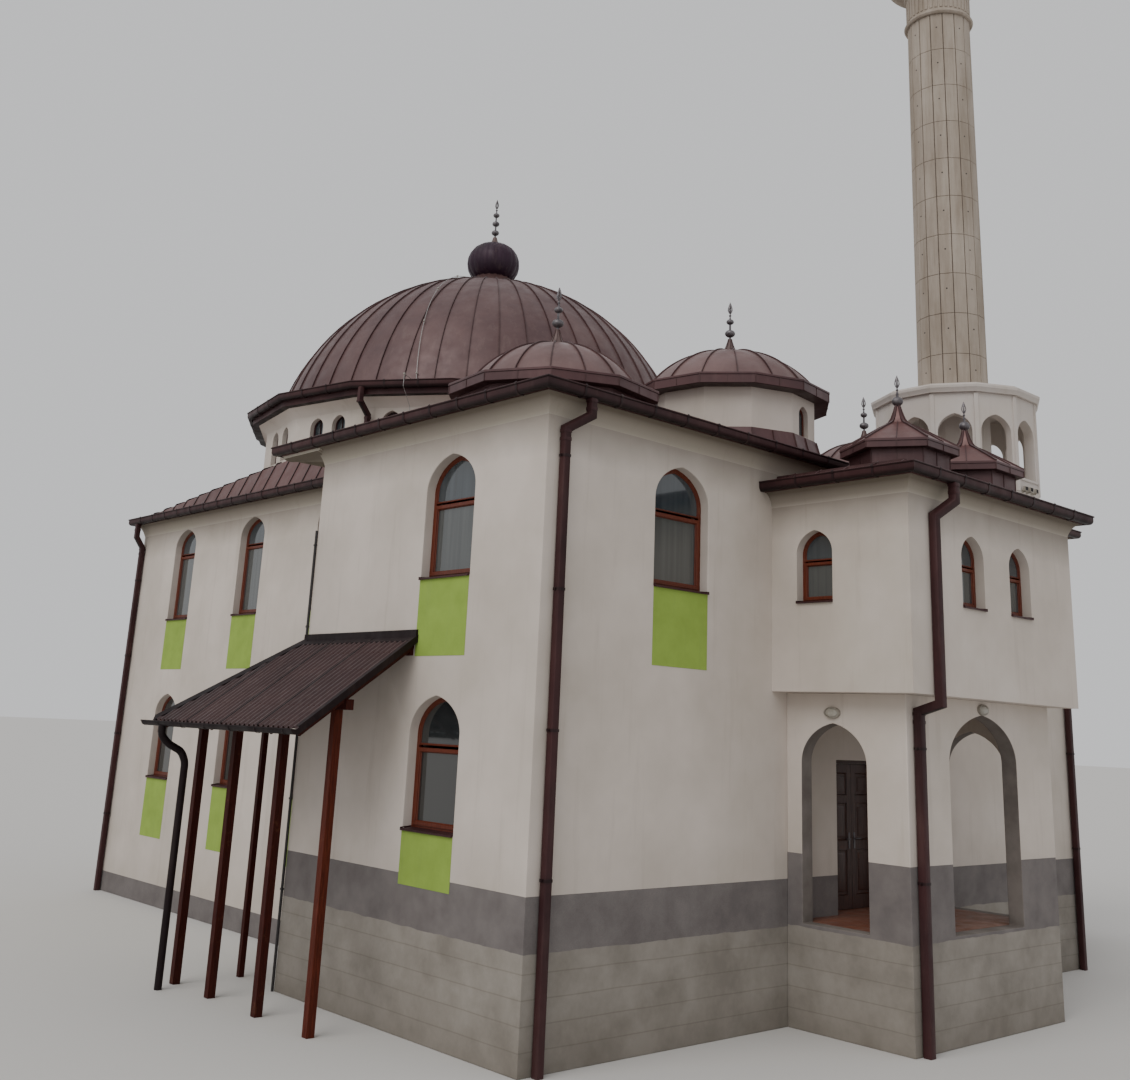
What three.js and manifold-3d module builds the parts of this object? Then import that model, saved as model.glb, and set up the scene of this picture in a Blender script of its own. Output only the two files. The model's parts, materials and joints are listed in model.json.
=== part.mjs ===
// A two-storey mosque with a domed prayer hall, a transverse front block with three small domes,
// a projecting porch with two turrets, a lean-to canopy and a detached minaret.
// Millimetres, +Z up. The front faces -Y. The origin is on the porch axis, in the middle of the
// front wall's thickness, at the lowest ground, which is the foot of the prayer hall.

import * as THREE from 'three';
import { ConvexGeometry } from 'three/addons/geometries/ConvexGeometry.js';
import { mergeVertices } from 'three/addons/utils/BufferGeometryUtils.js';
import Module from 'manifold-3d';

const wasm = await Module();
wasm.setup();

// driving dimensions
const GAP = 0.3; // left between pieces that touch
const WALL = 350; // masonry walls
const THIN_WALL = 250; // walls of the porch and the drums
const REVEAL = 150; // from the wall's face to the window frame
const SITE_FALL = 1300; // the ground at the hall lies this much lower than at the porch
const GROUND_FLOOR = SITE_FALL + 100; // top of the ground floor
const FLOOR_SLAB = 220;
const JETTY = SITE_FALL + 3310; // underside of the porch's upper storey
const UPPER_FLOOR = JETTY + FLOOR_SLAB; // top of the upper floor
const WALL_TOP = SITE_FALL + 6730;
const EAVE_TOP = SITE_FALL + 7050; // rim of the gutter
const PORCH_WALL_TOP = SITE_FALL + 6080;
const PORCH_EAVE_TOP = SITE_FALL + 6450;

const WING_HALF = 7100; // half the front block's width
const WING_DEPTH = 5540;
const HALL_HALF = 5140;
const HALL_DEPTH = 11250;
const FACE = -WALL / 2; // y of the front block's front face
const WING_BACK = FACE + WING_DEPTH;
const HALL_BACK = WING_BACK + HALL_DEPTH;

const PORCH_UPPER_HALF = 2400;
const PORCH_UPPER_REACH = 2400; // how far the upper storey stands out
const PORCH_LOWER_HALF = 2050;
const PORCH_LOWER_REACH = 2055;

const EAVE = 315; // overhang of the gutter's rim
const EAVE_BACK = 1250; // overhang behind the front block, beside the hall
const GUTTER = { width: 130, depth: 150, sheet: 14 };
const COVE_OUT = 150; // how far the plaster cove under the eaves stands out

// windows: half width, sill, spring and apex above the sill
const WINDOW = { half: 565, spring: 1240, apex: 1750 };
const HALL_WINDOW = { half: 500, spring: 1330, apex: 1750 };
const HALL_HIGH_WINDOW = { half: 500, spring: 1610, apex: 2010 };
const PORCH_WINDOW = { half: 320, spring: 720, apex: 1055 };
const FRAME = { bar: 62, narrow: 52, depth: 70, paneFrom: 28, paneTo: 40, pane: 14 }; // frame bars and panes
const TRANSOM = { low: 217, high: 107 }; // below the spring
const LOWER_SILL = SITE_FALL + 1236;
const UPPER_SILL = SITE_FALL + 4617;
const SIDE_WINDOW_Y = FACE + 2050; // in the front block's side walls
const FRONT_WINDOW_X = 4455; // each side of the porch
const HALL_WINDOW_Y = FACE + 11440; // the middle bay
const HALL_BAY = 3070;
const PORCH_WINDOW_X = 700;
const PORCH_SIDE_WINDOW_Y = FACE - 790;
const PASSAGE = { half: 600, height: 2100, slot: 700 }; // from the upper floor to the porch's room

const DOOR = { half: 800, height: 2250, clear: 6, pinOut: 14, bar: 60, depth: 90, leaf: 48, handle: 1040 };
const HINGE = { barrel: 13, pin: 7, bore: 7.7, knuckle: 60, stub: 45 };

// the prayer hall's drum and dome
const DRUM = { y: FACE + 10450, sides: 16, radius: 4950, seat: SITE_FALL + 7750 };
const DRUM_WINDOW = { half: 190, sill: SITE_FALL + 7850, spring: 520, apex: 720, apart: 640 };
const DRUM_GUTTER = { radius: 5420, top: SITE_FALL + 9080 };
const DOME = { radius: 4620, rise: 3780, shell: 120 };
const ROOF = { flat: SITE_FALL + 7350, run: 1330, shell: 160 }; // a sloped skirt around a flat top
const PORCH_ROOF_TOP = PORCH_EAVE_TOP + 150;

// the three small domes on the front block
const SMALL = { sides: 10, x: 4460, y: FACE + 2900, turn: 0.5, wall: 200, lip: 80 };
const SIDE_DOME = { fascia: 1780, body: 1600, eave: SITE_FALL + 7760, rim: SITE_FALL + 7930 };
const MID_DOME = {
  fascia: 1830, body: 1550, eave: SITE_FALL + 8660, rim: SITE_FALL + 8850, sides: 12, turn: 0.8,
  well: 1800, // the square opening under it
};
const SMALL_CAP = { radius: 1360, rise: 620, shell: 60 };
const MID_WINDOW = { half: 170, sill: SITE_FALL + 7930, spring: 380, apex: 560, angles: [-81, 9, 99] };

// the porch's two turrets
const TURRET = { x: 1010, y: FACE - 1400, sides: 6, body: 840, fascia: 960 };
TURRET.eave = SITE_FALL + 6960;
TURRET.rim = SITE_FALL + 7090;

// the canopy on the left side
const CANOPY = {
  reach: 1750, front: FACE + 2590, back: FACE + 6900, high: SITE_FALL + 3790, low: SITE_FALL + 2500,
};
CANOPY.sheet = 40;
CANOPY.row = 1000; // the posts' distance from the wall
CANOPY.posts = [2920, 4250, 5600, 6710].map((y) => FACE + y);
CANOPY.rafters = [2680, 3400, 4250, 5100].map((y) => FACE + y);

// the minaret
const MINARET = { x: 9550, y: FACE + 3680, sides: 12, radius: 1910 };
const ARCADE = { sill: SITE_FALL + 8750, spring: SITE_FALL + 9760, apex: SITE_FALL + 10190, half: 385 };
const SLAB = { bottom: SITE_FALL + 10700, top: SITE_FALL + 10880, radius: 2030 };
const SHAFT = { sides: 16, foot: 850, head: 815, top: SITE_FALL + 21480, bore: 560, turn: 2 / 3 };
const BALCONY = { radius: 1330, floor: SITE_FALL + 22950, parapet: 1000 };
const UPPER_SHAFT = { radius: 640, top: SITE_FALL + 26600 };
const SPIRE = { radius: 860, rise: 5000 };

// finishes
function finish(color, roughness, metalness = 0) {
  return new THREE.MeshStandardMaterial({ color, roughness, metalness });
}
const plaster = () => finish(0xd9d5cf, 0.92);
const roofMetal = () => finish(0x6e5552, 0.5, 0.5);
const gutterMetal = () => finish(0x4a3234, 0.45, 0.4);
const timber = () => finish(0x7a3520, 0.6);
const concrete = () => finish(0x8e8b88, 0.9);
const stone = () => finish(0xa89f96, 0.85);
const darkMetal = () => finish(0x53565a, 0.45, 0.7);
const glazing = () => finish(0x59646a, 0.15, 0.1);

const building = new THREE.Group();

function add(name, geometry, material) {
  const mesh = new THREE.Mesh(geometry, material);
  mesh.name = name;
  building.add(mesh);
  return mesh;
}

// Booleans: a three.js geometry to a solid and back

function solidOf(geometry) {
  const bare = geometry.clone();
  bare.deleteAttribute('normal');
  bare.deleteAttribute('uv');
  const merged = mergeVertices(bare, 1e-3);
  const mesh = new wasm.Mesh({
    numProp: 3,
    vertProperties: new Float32Array(merged.attributes.position.array),
    triVerts: new Uint32Array(merged.index.array),
  });
  return new wasm.Manifold(mesh);
}

function geometryOf(solid) {
  const mesh = solid.getMesh();
  const geometry = new THREE.BufferGeometry();
  geometry.setAttribute('position', new THREE.BufferAttribute(new Float32Array(mesh.vertProperties), 3));
  geometry.setIndex(new THREE.BufferAttribute(new Uint32Array(mesh.triVerts), 1));
  return geometry;
}

const joined = (...geometries) => geometryOf(geometries.map(solidOf).reduce((a, b) => a.add(b)));

function cut(geometry, ...cutters) {
  return geometryOf(cutters.map(solidOf).reduce((a, b) => a.subtract(b), solidOf(geometry)));
}

// Shapes

function box(x0, x1, y0, y1, z0, z1) {
  const block = new THREE.BoxGeometry(x1 - x0, y1 - y0, z1 - z0);
  return block.translate((x0 + x1) / 2, (y0 + y1) / 2, (z0 + z1) / 2);
}

const mirrored = (x0, x1, side) => (side < 0 ? [-x1, -x0] : [x0, x1]);

// a box whose x range is given for the right side, and mirrored for the left
function sideBox(side, x0, x1, y0, y1, z0, z1) {
  return box(...mirrored(x0, x1, side), y0, y1, z0, z1);
}

const polar = (radius, angle, x = 0, y = 0) => [x + radius * Math.cos(angle), y + radius * Math.sin(angle)];

// corners of a regular polygon, turned by a share of one side
function corners(sides, radius, x, y, turn = 0) {
  return Array.from({ length: sides }, (_, i) => polar(radius, ((i + turn) * 2 * Math.PI) / sides, x, y));
}

const shapeOf = (points) => new THREE.Shape(points.map(([x, y]) => new THREE.Vector2(x, y)));

// an upright prism over a plan outline, with holes cut right through
function prism(outline, z0, z1, ...holes) {
  const raised = (points, from, to) => {
    const settings = { depth: to - from, bevelEnabled: false };
    return new THREE.ExtrudeGeometry(shapeOf(points), settings).translate(0, 0, from);
  };
  const body = raised(outline, z0, z1);
  return holes.length ? cut(body, ...holes.map((hole) => raised(hole, z0 - 1, z1 + 1))) : body;
}

const rectangle = (x0, x1, y0, y1) => [[x0, y0], [x1, y0], [x1, y1], [x0, y1]];

// the solid between two polygons of equal count at two heights
function loft(lower, z0, upper, z1) {
  return hullOf([...lower.map(([x, y]) => [x, y, z0]), ...upper.map(([x, y]) => [x, y, z1])]);
}

const hullOf = (points) => new ConvexGeometry(points.map((point) => new THREE.Vector3(...point)));

// a bar that runs from one upright square end to another; half is half its width
function slanted(from, to, half) {
  const signs = [[-1, -1], [1, -1], [1, 1], [-1, 1]];
  return hullOf([from, to].flatMap(([x, y, z]) => signs.flatMap(([i, j]) => (
    [-half, half].map((lift) => [x + i * half, y + j * half, z + lift])))));
}

// a pointed opening: straight jambs, then two curves that meet in a point
function archOutline(centre, half, sill, spring, apex, steps = 5) {
  const lean = half * 0.3;
  const span = half + lean;
  const height = (apex - spring) / Math.sqrt(1 - (lean / span) ** 2);
  const end = Math.acos(lean / span);
  const curve = Array.from({ length: steps + 1 }, (_, i) => {
    const angle = (end * i) / steps;
    return [span * Math.cos(angle) - lean, spring + height * Math.sin(angle)];
  });
  curve[steps] = [0, apex];
  const left = curve.slice(0, steps).reverse();
  return [
    [centre - half, sill],
    [centre + half, sill],
    ...curve.map(([u, v]) => [centre + u, v]),
    ...left.map(([u, v]) => [centre - u, v]),
  ];
}

function windowOutline(centre, sill, size, inset = 0) {
  const steps = size.half < 250 ? 3 : 4;
  const [spring, apex] = [sill + size.spring, sill + size.apex - inset];
  return archOutline(centre, size.half - inset, sill + inset, spring, apex, steps);
}

const frontBasis = new THREE.Matrix4().makeBasis(
  new THREE.Vector3(1, 0, 0), new THREE.Vector3(0, 0, 1), new THREE.Vector3(0, -1, 0),
);
const sideBasis = new THREE.Matrix4().makeBasis(
  new THREE.Vector3(0, 1, 0), new THREE.Vector3(0, 0, 1), new THREE.Vector3(1, 0, 0),
);

// a wall drawn in elevation (x and z), from y0 to y1
function wallAcross(outline, holes, y0, y1) {
  return prism(outline, 0, y1 - y0, ...holes).applyMatrix4(frontBasis).translate(0, y1, 0);
}

// a wall drawn in elevation (y and z), from x0 to x1
function wallAlong(outline, holes, x0, x1) {
  return prism(outline, 0, x1 - x0, ...holes).applyMatrix4(sideBasis).translate(x0, 0, 0);
}

// a straight timber between two points on the middle of its top face
function bar(from, to, width, depth) {
  const across = new THREE.Vector3(from.y - to.y, to.x - from.x, 0).setLength(width / 2);
  const points = [from, to].flatMap((end) => [-1, 1].flatMap((i) => {
    const edge = end.clone().addScaledVector(across, i);
    return [edge, edge.clone().add(new THREE.Vector3(0, 0, -depth))];
  }));
  return new ConvexGeometry(points);
}

// a solid of revolution about a vertical axis; profile rows are radius and height
function turned(profile, segments, x = 0, y = 0, z = 0) {
  const points = profile.map(([r, h]) => new THREE.Vector2(r, h));
  return new THREE.LatheGeometry(points, segments).rotateX(Math.PI / 2).translate(x, y, z);
}

// a spherical cap's arc from its foot to its top
function capArc(radius, rise, steps, z = 0) {
  const ball = (radius * radius + rise * rise) / (2 * rise);
  const start = Math.asin(Math.min(1, radius / ball));
  const low = rise > radius ? Math.PI - start : start;
  return Array.from({ length: steps + 1 }, (_, i) => {
    const angle = low * (1 - i / steps);
    return [i === steps ? 0 : ball * Math.sin(angle), z + rise - ball + ball * Math.cos(angle)];
  });
}

const closedCap = (radius, rise, steps) => [[0, 0], ...capArc(radius, rise, steps)];

// a hollow cap that stands on an open foot; its inside is coarser than its outside
function capShell({ radius, rise, shell }, steps, segments, x, y, z) {
  const outside = turned(closedCap(radius, rise, steps), segments, x, y, z);
  const bore = [[0, -1], [radius - shell, -1], ...capArc(radius - shell, rise - shell, 4)];
  return cut(outside, turned(bore, segments / 2, x, y, z));
}

// Openings in elevation

const sideWindows = [LOWER_SILL, UPPER_SILL].map((sill) => windowOutline(SIDE_WINDOW_Y, sill, WINDOW));
const hallBays = [-1, 0, 1].map((i) => HALL_WINDOW_Y + i * HALL_BAY);
const hallWindows = hallBays.flatMap((y) => [
  windowOutline(y, LOWER_SILL, HALL_WINDOW),
  windowOutline(y, UPPER_SILL, HALL_HIGH_WINDOW),
]);

// The front block's walls

function frontBlock() {
  for (const [side, word] of [[-1, 'left'], [1, 'right']]) {
    const span = mirrored(WING_HALF - WALL, WING_HALF, side);
    const wall = wallAlong(rectangle(FACE, WING_BACK, 0, WALL_TOP), sideWindows, ...span);
    const [near, far] = [HALL_HALF + GAP, WING_HALF - WALL + 1];
    const back = sideBox(side, near, far, WING_BACK - WALL, WING_BACK, 0, WALL_TOP);
    add(`wing_side_wall_${word}`, joined(wall, back), plaster());

    const outer = WING_HALF - WALL - GAP;
    const front = rectangle(...mirrored(DOOR.half, outer, side), 0, WALL_TOP);
    const opening = windowOutline(side * FRONT_WINDOW_X, UPPER_SILL, WINDOW);
    add(`wing_front_wall_${word}`, wallAcross(front, [opening], FACE, FACE + WALL), plaster());
  }
  const head = GROUND_FLOOR + DOOR.height;
  const inner = DOOR.half - GAP;
  const passage = rectangle(-PASSAGE.half, PASSAGE.half, UPPER_FLOOR, UPPER_FLOOR + PASSAGE.height);
  const over = wallAcross(rectangle(-inner, inner, head, WALL_TOP), [passage], FACE, FACE + WALL);
  const slot = box(-PASSAGE.slot, PASSAGE.slot, FACE - 1, FACE + WALL + 1, JETTY - GAP, UPPER_FLOOR + 1);
  add('wing_wall_over_door', cut(over, slot), plaster());
}

// The prayer hall's walls, the ground floor and the upper floor

function prayerHall() {
  for (const [side, word] of [[-1, 'left'], [1, 'right']]) {
    const span = mirrored(HALL_HALF - WALL, HALL_HALF, side);
    const outline = rectangle(WING_BACK - WALL, HALL_BACK, 0, WALL_TOP);
    add(`hall_side_wall_${word}`, wallAlong(outline, hallWindows, ...span), plaster());
  }
  const inner = HALL_HALF - WALL - GAP;
  const openings = [-1, 1].flatMap((i) => [
    windowOutline(i * HALL_BAY, LOWER_SILL, HALL_WINDOW),
    windowOutline(i * HALL_BAY, UPPER_SILL, HALL_HIGH_WINDOW),
  ]);
  const outline = rectangle(-inner, inner, 0, WALL_TOP);
  add('hall_back_wall', wallAcross(outline, openings, HALL_BACK - WALL, HALL_BACK), plaster());
}

function floors() {
  const wingInner = WING_HALF - WALL - GAP;
  const hallInner = HALL_HALF - WALL - GAP;
  const doorway = DOOR.half - GAP;
  const porchInner = PORCH_LOWER_HALF - THIN_WALL - GAP;
  const porchEnd = FACE - PORCH_LOWER_REACH + THIN_WALL + GAP;
  const front = FACE + WALL + GAP;
  const back = WING_BACK - WALL - GAP;
  const plan = [
    [-porchInner, porchEnd], [porchInner, porchEnd], [porchInner, FACE - GAP], [doorway, FACE - GAP],
    [doorway, front], [wingInner, front], [wingInner, back],
    [hallInner, back], [hallInner, HALL_BACK - WALL - GAP],
    [-hallInner, HALL_BACK - WALL - GAP], [-hallInner, back], [-wingInner, back], [-wingInner, front],
    [-doorway, front], [-doorway, FACE - GAP], [-porchInner, FACE - GAP],
  ];
  const slab = prism(plan, GROUND_FLOOR - FLOOR_SLAB, GROUND_FLOOR);
  const threshold = box(-doorway, doorway, FACE, FACE + WALL, 0, GROUND_FLOOR - 1);
  add('ground_floor', joined(slab, threshold), concrete());

  const upper = box(-wingInner, wingInner, front, back, JETTY, UPPER_FLOOR);
  const half = PASSAGE.slot - GAP;
  const tongue = box(-half, half, FACE - 20, front + 1, JETTY, UPPER_FLOOR);
  const [x, y] = [PORCH_UPPER_HALF, FACE - PORCH_UPPER_REACH];
  const porch = box(-x, x, y, FACE - GAP, JETTY, UPPER_FLOOR);
  add('upper_floor', joined(upper, tongue, porch), plaster());
}

// Porch: an arcade below, a jettied room above

const SIDE_ARCH = { y: FACE - 830, half: 560, spring: SITE_FALL + 2310, apex: SITE_FALL + 2880 };
const FRONT_ARCH = { half: 960, spring: SITE_FALL + 2405, apex: SITE_FALL + 3100 };

function porch() {
  const y0 = FACE - PORCH_LOWER_REACH;
  const x1 = PORCH_LOWER_HALF;
  const sideHole = archOutline(SIDE_ARCH.y, SIDE_ARCH.half, GROUND_FLOOR, SIDE_ARCH.spring, SIDE_ARCH.apex, 8);
  const frontHole = archOutline(0, FRONT_ARCH.half, GROUND_FLOOR, FRONT_ARCH.spring, FRONT_ARCH.apex, 8);
  const outline = rectangle(y0, FACE - GAP, 0, JETTY - GAP);
  const left = wallAlong(outline, [sideHole], -x1, -x1 + THIN_WALL);
  const right = wallAlong(outline, [sideHole], x1 - THIN_WALL, x1);
  const front = wallAcross(rectangle(-x1 + 1, x1 - 1, 0, JETTY - GAP), [frontHole], y0, y0 + THIN_WALL);
  add('porch_arcade', joined(left, right, front), plaster());

  const foot = UPPER_FLOOR + GAP;
  const u1 = PORCH_UPPER_HALF;
  const v0 = FACE - PORCH_UPPER_REACH;
  const sideWindow = windowOutline(PORCH_SIDE_WINDOW_Y, UPPER_SILL, PORCH_WINDOW);
  const sideOutline = rectangle(v0, FACE - GAP, foot, PORCH_WALL_TOP);
  const frontWindows = [-1, 1].map((i) => windowOutline(i * PORCH_WINDOW_X, UPPER_SILL, PORCH_WINDOW));
  const frontOutline = rectangle(-u1 + 1, u1 - 1, foot, PORCH_WALL_TOP);
  const upper = joined(
    wallAlong(sideOutline, [sideWindow], -u1, -u1 + THIN_WALL),
    wallAlong(sideOutline, [sideWindow], u1 - THIN_WALL, u1),
    wallAcross(frontOutline, frontWindows, v0, v0 + THIN_WALL),
  );
  add('porch_upper_walls', upper, plaster());
}

// Eaves and roofs

// the outline of the front block and hall together, moved outward; rear is its move behind the block
const mainPlan = (out, rear = out) => [
  [-WING_HALF - out, FACE - out], [WING_HALF + out, FACE - out], [WING_HALF + out, WING_BACK + rear],
  [HALL_HALF + out, WING_BACK + rear], [HALL_HALF + out, HALL_BACK + out],
  [-HALL_HALF - out, HALL_BACK + out],
  [-HALL_HALF - out, WING_BACK + rear], [-WING_HALF - out, WING_BACK + rear],
];

const porchPlan = (out) => {
  const u = PORCH_UPPER_HALF + out;
  return rectangle(-u, u, FACE - PORCH_UPPER_REACH - out, FACE - GAP);
};

// a plaster cove in steps: each step is its projection and its top
function cove(plan, innerPlan, base, steps) {
  const layers = steps.map(([out, top], i) => {
    const from = i === 0 ? base : steps[i - 1][1] - 1;
    return prism(plan(out), from, top, innerPlan);
  });
  return joined(...layers);
}

function eaves() {
  const head = EAVE_TOP - GUTTER.depth - GAP;
  const mainSteps = [[0, head - 160], [60, head - 90], [COVE_OUT, head]];
  const main = cove(mainPlan, mainPlan(-WALL), WALL_TOP + GAP, mainSteps);
  add('main_cornice', main, plaster());

  const porchHead = PORCH_EAVE_TOP - GUTTER.depth - GAP;
  const u0 = PORCH_UPPER_HALF - THIN_WALL;
  const inside = rectangle(-u0, u0, FACE - PORCH_UPPER_REACH + THIN_WALL, FACE);
  const steps = [[0, porchHead - 130], [60, porchHead - 70], [COVE_OUT - 20, porchHead]];
  add('porch_cornice', cove(porchPlan, inside, PORCH_WALL_TOP + GAP, steps), plaster());

  const { width, depth, sheet } = GUTTER;
  const plan = (inset) => mainPlan(EAVE - inset, EAVE_BACK - inset);
  const floor = EAVE_TOP - depth + sheet;
  const ring = prism(plan(0), EAVE_TOP - depth, EAVE_TOP, plan(width));
  const bore = prism(plan(sheet), floor, EAVE_TOP + 1, plan(width - sheet));
  add('main_gutter', joined(cut(ring, bore), ...mainDownpipes()), gutterMetal());

  // the porch's gutter is open towards the wall, so its inner outline runs on past its ends
  const u = PORCH_UPPER_HALF + EAVE;
  const v = FACE - PORCH_UPPER_REACH - EAVE;
  const end = FACE - EAVE - GAP;
  const inner = (inset) => rectangle(-u + inset, u - inset, v + inset, end + 500);
  const body = prism(rectangle(-u, u, v, end), PORCH_EAVE_TOP - depth, PORCH_EAVE_TOP, inner(width));
  const troughPlan = rectangle(-u + sheet, u - sheet, v + sheet, end - sheet);
  const trough = prism(troughPlan, PORCH_EAVE_TOP - depth + sheet, PORCH_EAVE_TOP + 1, inner(width - sheet));
  add('porch_gutter', joined(cut(body, trough), porchDownpipe()), gutterMetal());
}

const drumRing = (radius) => corners(DRUM.sides, radius, 0, DRUM.y);
const midRing = (radius) => corners(MID_DOME.sides, radius, 0, SMALL.y, MID_DOME.turn);

function roofs() {
  const out = EAVE - GUTTER.width - GAP;
  const rear = EAVE_BACK - GUTTER.width - GAP;
  const [x1, y0, y1] = [WING_HALF + out, FACE - out, WING_BACK + rear];
  const soffit = EAVE_TOP - GUTTER.depth;
  const edge = EAVE_TOP - 40;
  const run = ROOF.run;
  const plate = prism(mainPlan(out, rear), soffit, edge + 1);
  const flatPlan = rectangle(-x1 + run, x1 - run, y0 + run, y1 - run);
  const wing = loft(rectangle(-x1, x1, y0, y1), edge, flatPlan, ROOF.flat);
  const hallPlan = rectangle(-HALL_HALF - out, HALL_HALF + out, WING_BACK - WALL, HALL_BACK + out);
  const hall = loft(hallPlan, edge, drumRing(DRUM.radius + 60), DRUM.seat);
  const a = WING_HALF - WALL;
  const b = a - 1000;
  const atticFloor = rectangle(-a, a, FACE + WALL, WING_BACK - WALL);
  const atticHead = rectangle(-b, b, FACE + WALL + 700, WING_BACK - WALL);
  const attic = loft(atticFloor, soffit - 1, atticHead, ROOF.flat - ROOF.shell);
  const well = prism(drumRing(DRUM.radius - THIN_WALL - 10), soffit - 1, DRUM.seat + 1);
  const half = MID_DOME.well / 2;
  const light = box(-half, half, SMALL.y - half, SMALL.y + half, soffit, ROOF.flat + 1);
  const whole = cut(joined(plate, wing, hall), attic, well, light);
  // two pieces that meet at the back edge of the front block's eave
  const far = HALL_BACK + 1000;
  add('wing_roof', cut(whole, box(-far, far, y1, far, 0, far)), roofMetal());
  add('hall_roof', cut(whole, box(-far, far, -far, y1 + GAP, 0, far)), roofMetal());

  const u = PORCH_UPPER_HALF + out;
  const [v0, v1] = [FACE - PORCH_UPPER_REACH - out, FACE - GAP];
  const porchEdge = PORCH_EAVE_TOP - 40;
  const base = porchPlan(out);
  const slab = prism(base, PORCH_EAVE_TOP - GUTTER.depth, porchEdge + 1);
  const hip = loft(base, porchEdge, rectangle(-u + 350, u - 350, v0 + 350, v1), PORCH_ROOF_TOP);
  const inner = PORCH_UPPER_HALF - THIN_WALL;
  const void0 = PORCH_EAVE_TOP - GUTTER.depth - 1;
  const porchAttic = box(-inner, inner, v0 + out + THIN_WALL, v1 - 200, void0, PORCH_ROOF_TOP - 90);
  add('porch_roof', cut(joined(slab, hip), porchAttic), roofMetal());
}

// The prayer hall's drum, in two halves, and its dome

// an opening's prism that points outward from an axis at x, y
function radialCutter(outline, angle, radius, x, y) {
  return wallAlong(outline, [], radius - 1100, radius + 500).rotateZ(angle).translate(x, y, 0);
}

// two windows in each facet of one half of the drum
function drumWindowCutters(side) {
  const facet = (2 * Math.PI) / DRUM.sides;
  const first = side < 0 ? Math.PI : 0;
  const angles = Array.from({ length: DRUM.sides / 2 }, (_, i) => first + (i + 0.5) * facet);
  const outline = (i) => windowOutline((i * DRUM_WINDOW.apart) / 2, DRUM_WINDOW.sill, DRUM_WINDOW);
  const cutter = (angle, i) => radialCutter(outline(i), angle, DRUM.radius, 0, DRUM.y);
  return angles.flatMap((angle) => [cutter(angle, -1), cutter(angle, 1)]);
}

function drum() {
  const top = DRUM_GUTTER.top - GUTTER.depth - 60;
  const wall = prism(drumRing(DRUM.radius), DRUM.seat + GAP, top);
  const flareTop = drumRing(DRUM_GUTTER.radius - GUTTER.width - 60);
  const flare = loft(drumRing(DRUM.radius - 1), top - 250, flareTop, top);
  const bore = prism(drumRing(DRUM.radius - THIN_WALL), DRUM.seat - 1, top + 1);
  const span = DRUM.radius + 1000;
  for (const [side, word] of [[-1, 'front'], [1, 'back']]) {
    const [y0, y1] = side < 0 ? [DRUM.y - GAP / 2, DRUM.y + span] : [DRUM.y - span, DRUM.y + GAP / 2];
    const other = box(-span, span, y0, y1, DRUM.seat - 1, top + 1);
    add(`drum_wall_${word}`, cut(joined(wall, flare), bore, other, ...drumWindowCutters(side)), plaster());
  }
  const glassOut = drumRing(DRUM.radius - THIN_WALL - GAP);
  const glassIn = drumRing(DRUM.radius - THIN_WALL - FRAME.pane - 2);
  const [low, high] = [DRUM_WINDOW.sill - 80, DRUM_WINDOW.sill + DRUM_WINDOW.apex + 80];
  add('drum_glazing', prism(glassOut, low, high, glassIn), glazing());
  add('dome_gutter', joined(drumGutter(), ...drumDownpipe()), gutterMetal());
}

function drumGutter() {
  const bottom = DRUM_GUTTER.top - GUTTER.depth - 60 + GAP;
  const opening = drumRing(DOME.radius - DOME.shell - 40);
  const channelOut = drumRing(DRUM_GUTTER.radius - GUTTER.sheet);
  const channelIn = drumRing(DRUM_GUTTER.radius - GUTTER.width);
  const ring = prism(drumRing(DRUM_GUTTER.radius), bottom, DRUM_GUTTER.top, opening);
  return cut(ring, prism(channelOut, bottom + 60, DRUM_GUTTER.top + 1, channelIn));
}

// an outlet under the gutter, an arm towards the wall and a pipe down to the roof
function drumDownpipe() {
  const bottom = DRUM_GUTTER.top - GUTTER.depth - 60 + GAP;
  const angle = Math.PI + (2 * Math.PI) / DRUM.sides;
  const [px, py] = polar(DRUM.radius + 75, angle, 0, DRUM.y);
  const [ox, oy] = polar(DRUM_GUTTER.radius - 70, angle, 0, DRUM.y);
  const elbow = bottom - 375;
  const foot = DRUM.seat + 60;
  const rod = (radius, from, to, x, y) => {
    const height = to - from;
    return turned([[0, 0], [radius, 0], [radius, height], [0, height]], 12, x, y, from);
  };
  const arm = new THREE.BoxGeometry(Math.hypot(ox - px, oy - py) + 90, 90, 90).rotateZ(angle);
  arm.translate((ox + px) / 2, (oy + py) / 2, elbow + 45);
  return [rod(55, foot, elbow + 60, px, py), rod(50, elbow, bottom + 20, ox, oy), arm];
}

function mainDome() {
  const foot = DRUM_GUTTER.top + GAP;
  add('main_dome', capShell(DOME, 9, 48, 0, DRUM.y, foot), roofMetal());
  const profile = [
    [0, -60], [330, -60], [470, 60], [400, 190], [440, 300], [600, 440], [640, 580], [600, 740],
    [470, 880], [290, 980], [120, 1060], [60, 1120], [45, 1230],
    ...ballProfile(1330, 85), [30, 1440], ...ballProfile(1570, 80), [28, 1680], ...ballProfile(1800, 75),
    [26, 1900], [40, 1960], [85, 2080], [60, 2230], [8, 2420], [0, 2420],
  ];
  const bulb = turned(profile, 16, 0, DRUM.y, DRUM_GUTTER.top + DOME.rise);
  const seat = turned(closedCap(DOME.radius + GAP, DOME.rise + GAP, 9), 48, 0, DRUM.y, foot);
  add('main_finial', cut(bulb, seat), roofMetal());
}

// the outline of a ball on a rod
function ballProfile(height, radius) {
  const point = (share) => [radius * Math.sqrt(1 - share * share), height + radius * share];
  return [-0.8, -0.35, 0.35, 0.8].map(point);
}

// The small domes on the front block

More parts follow.
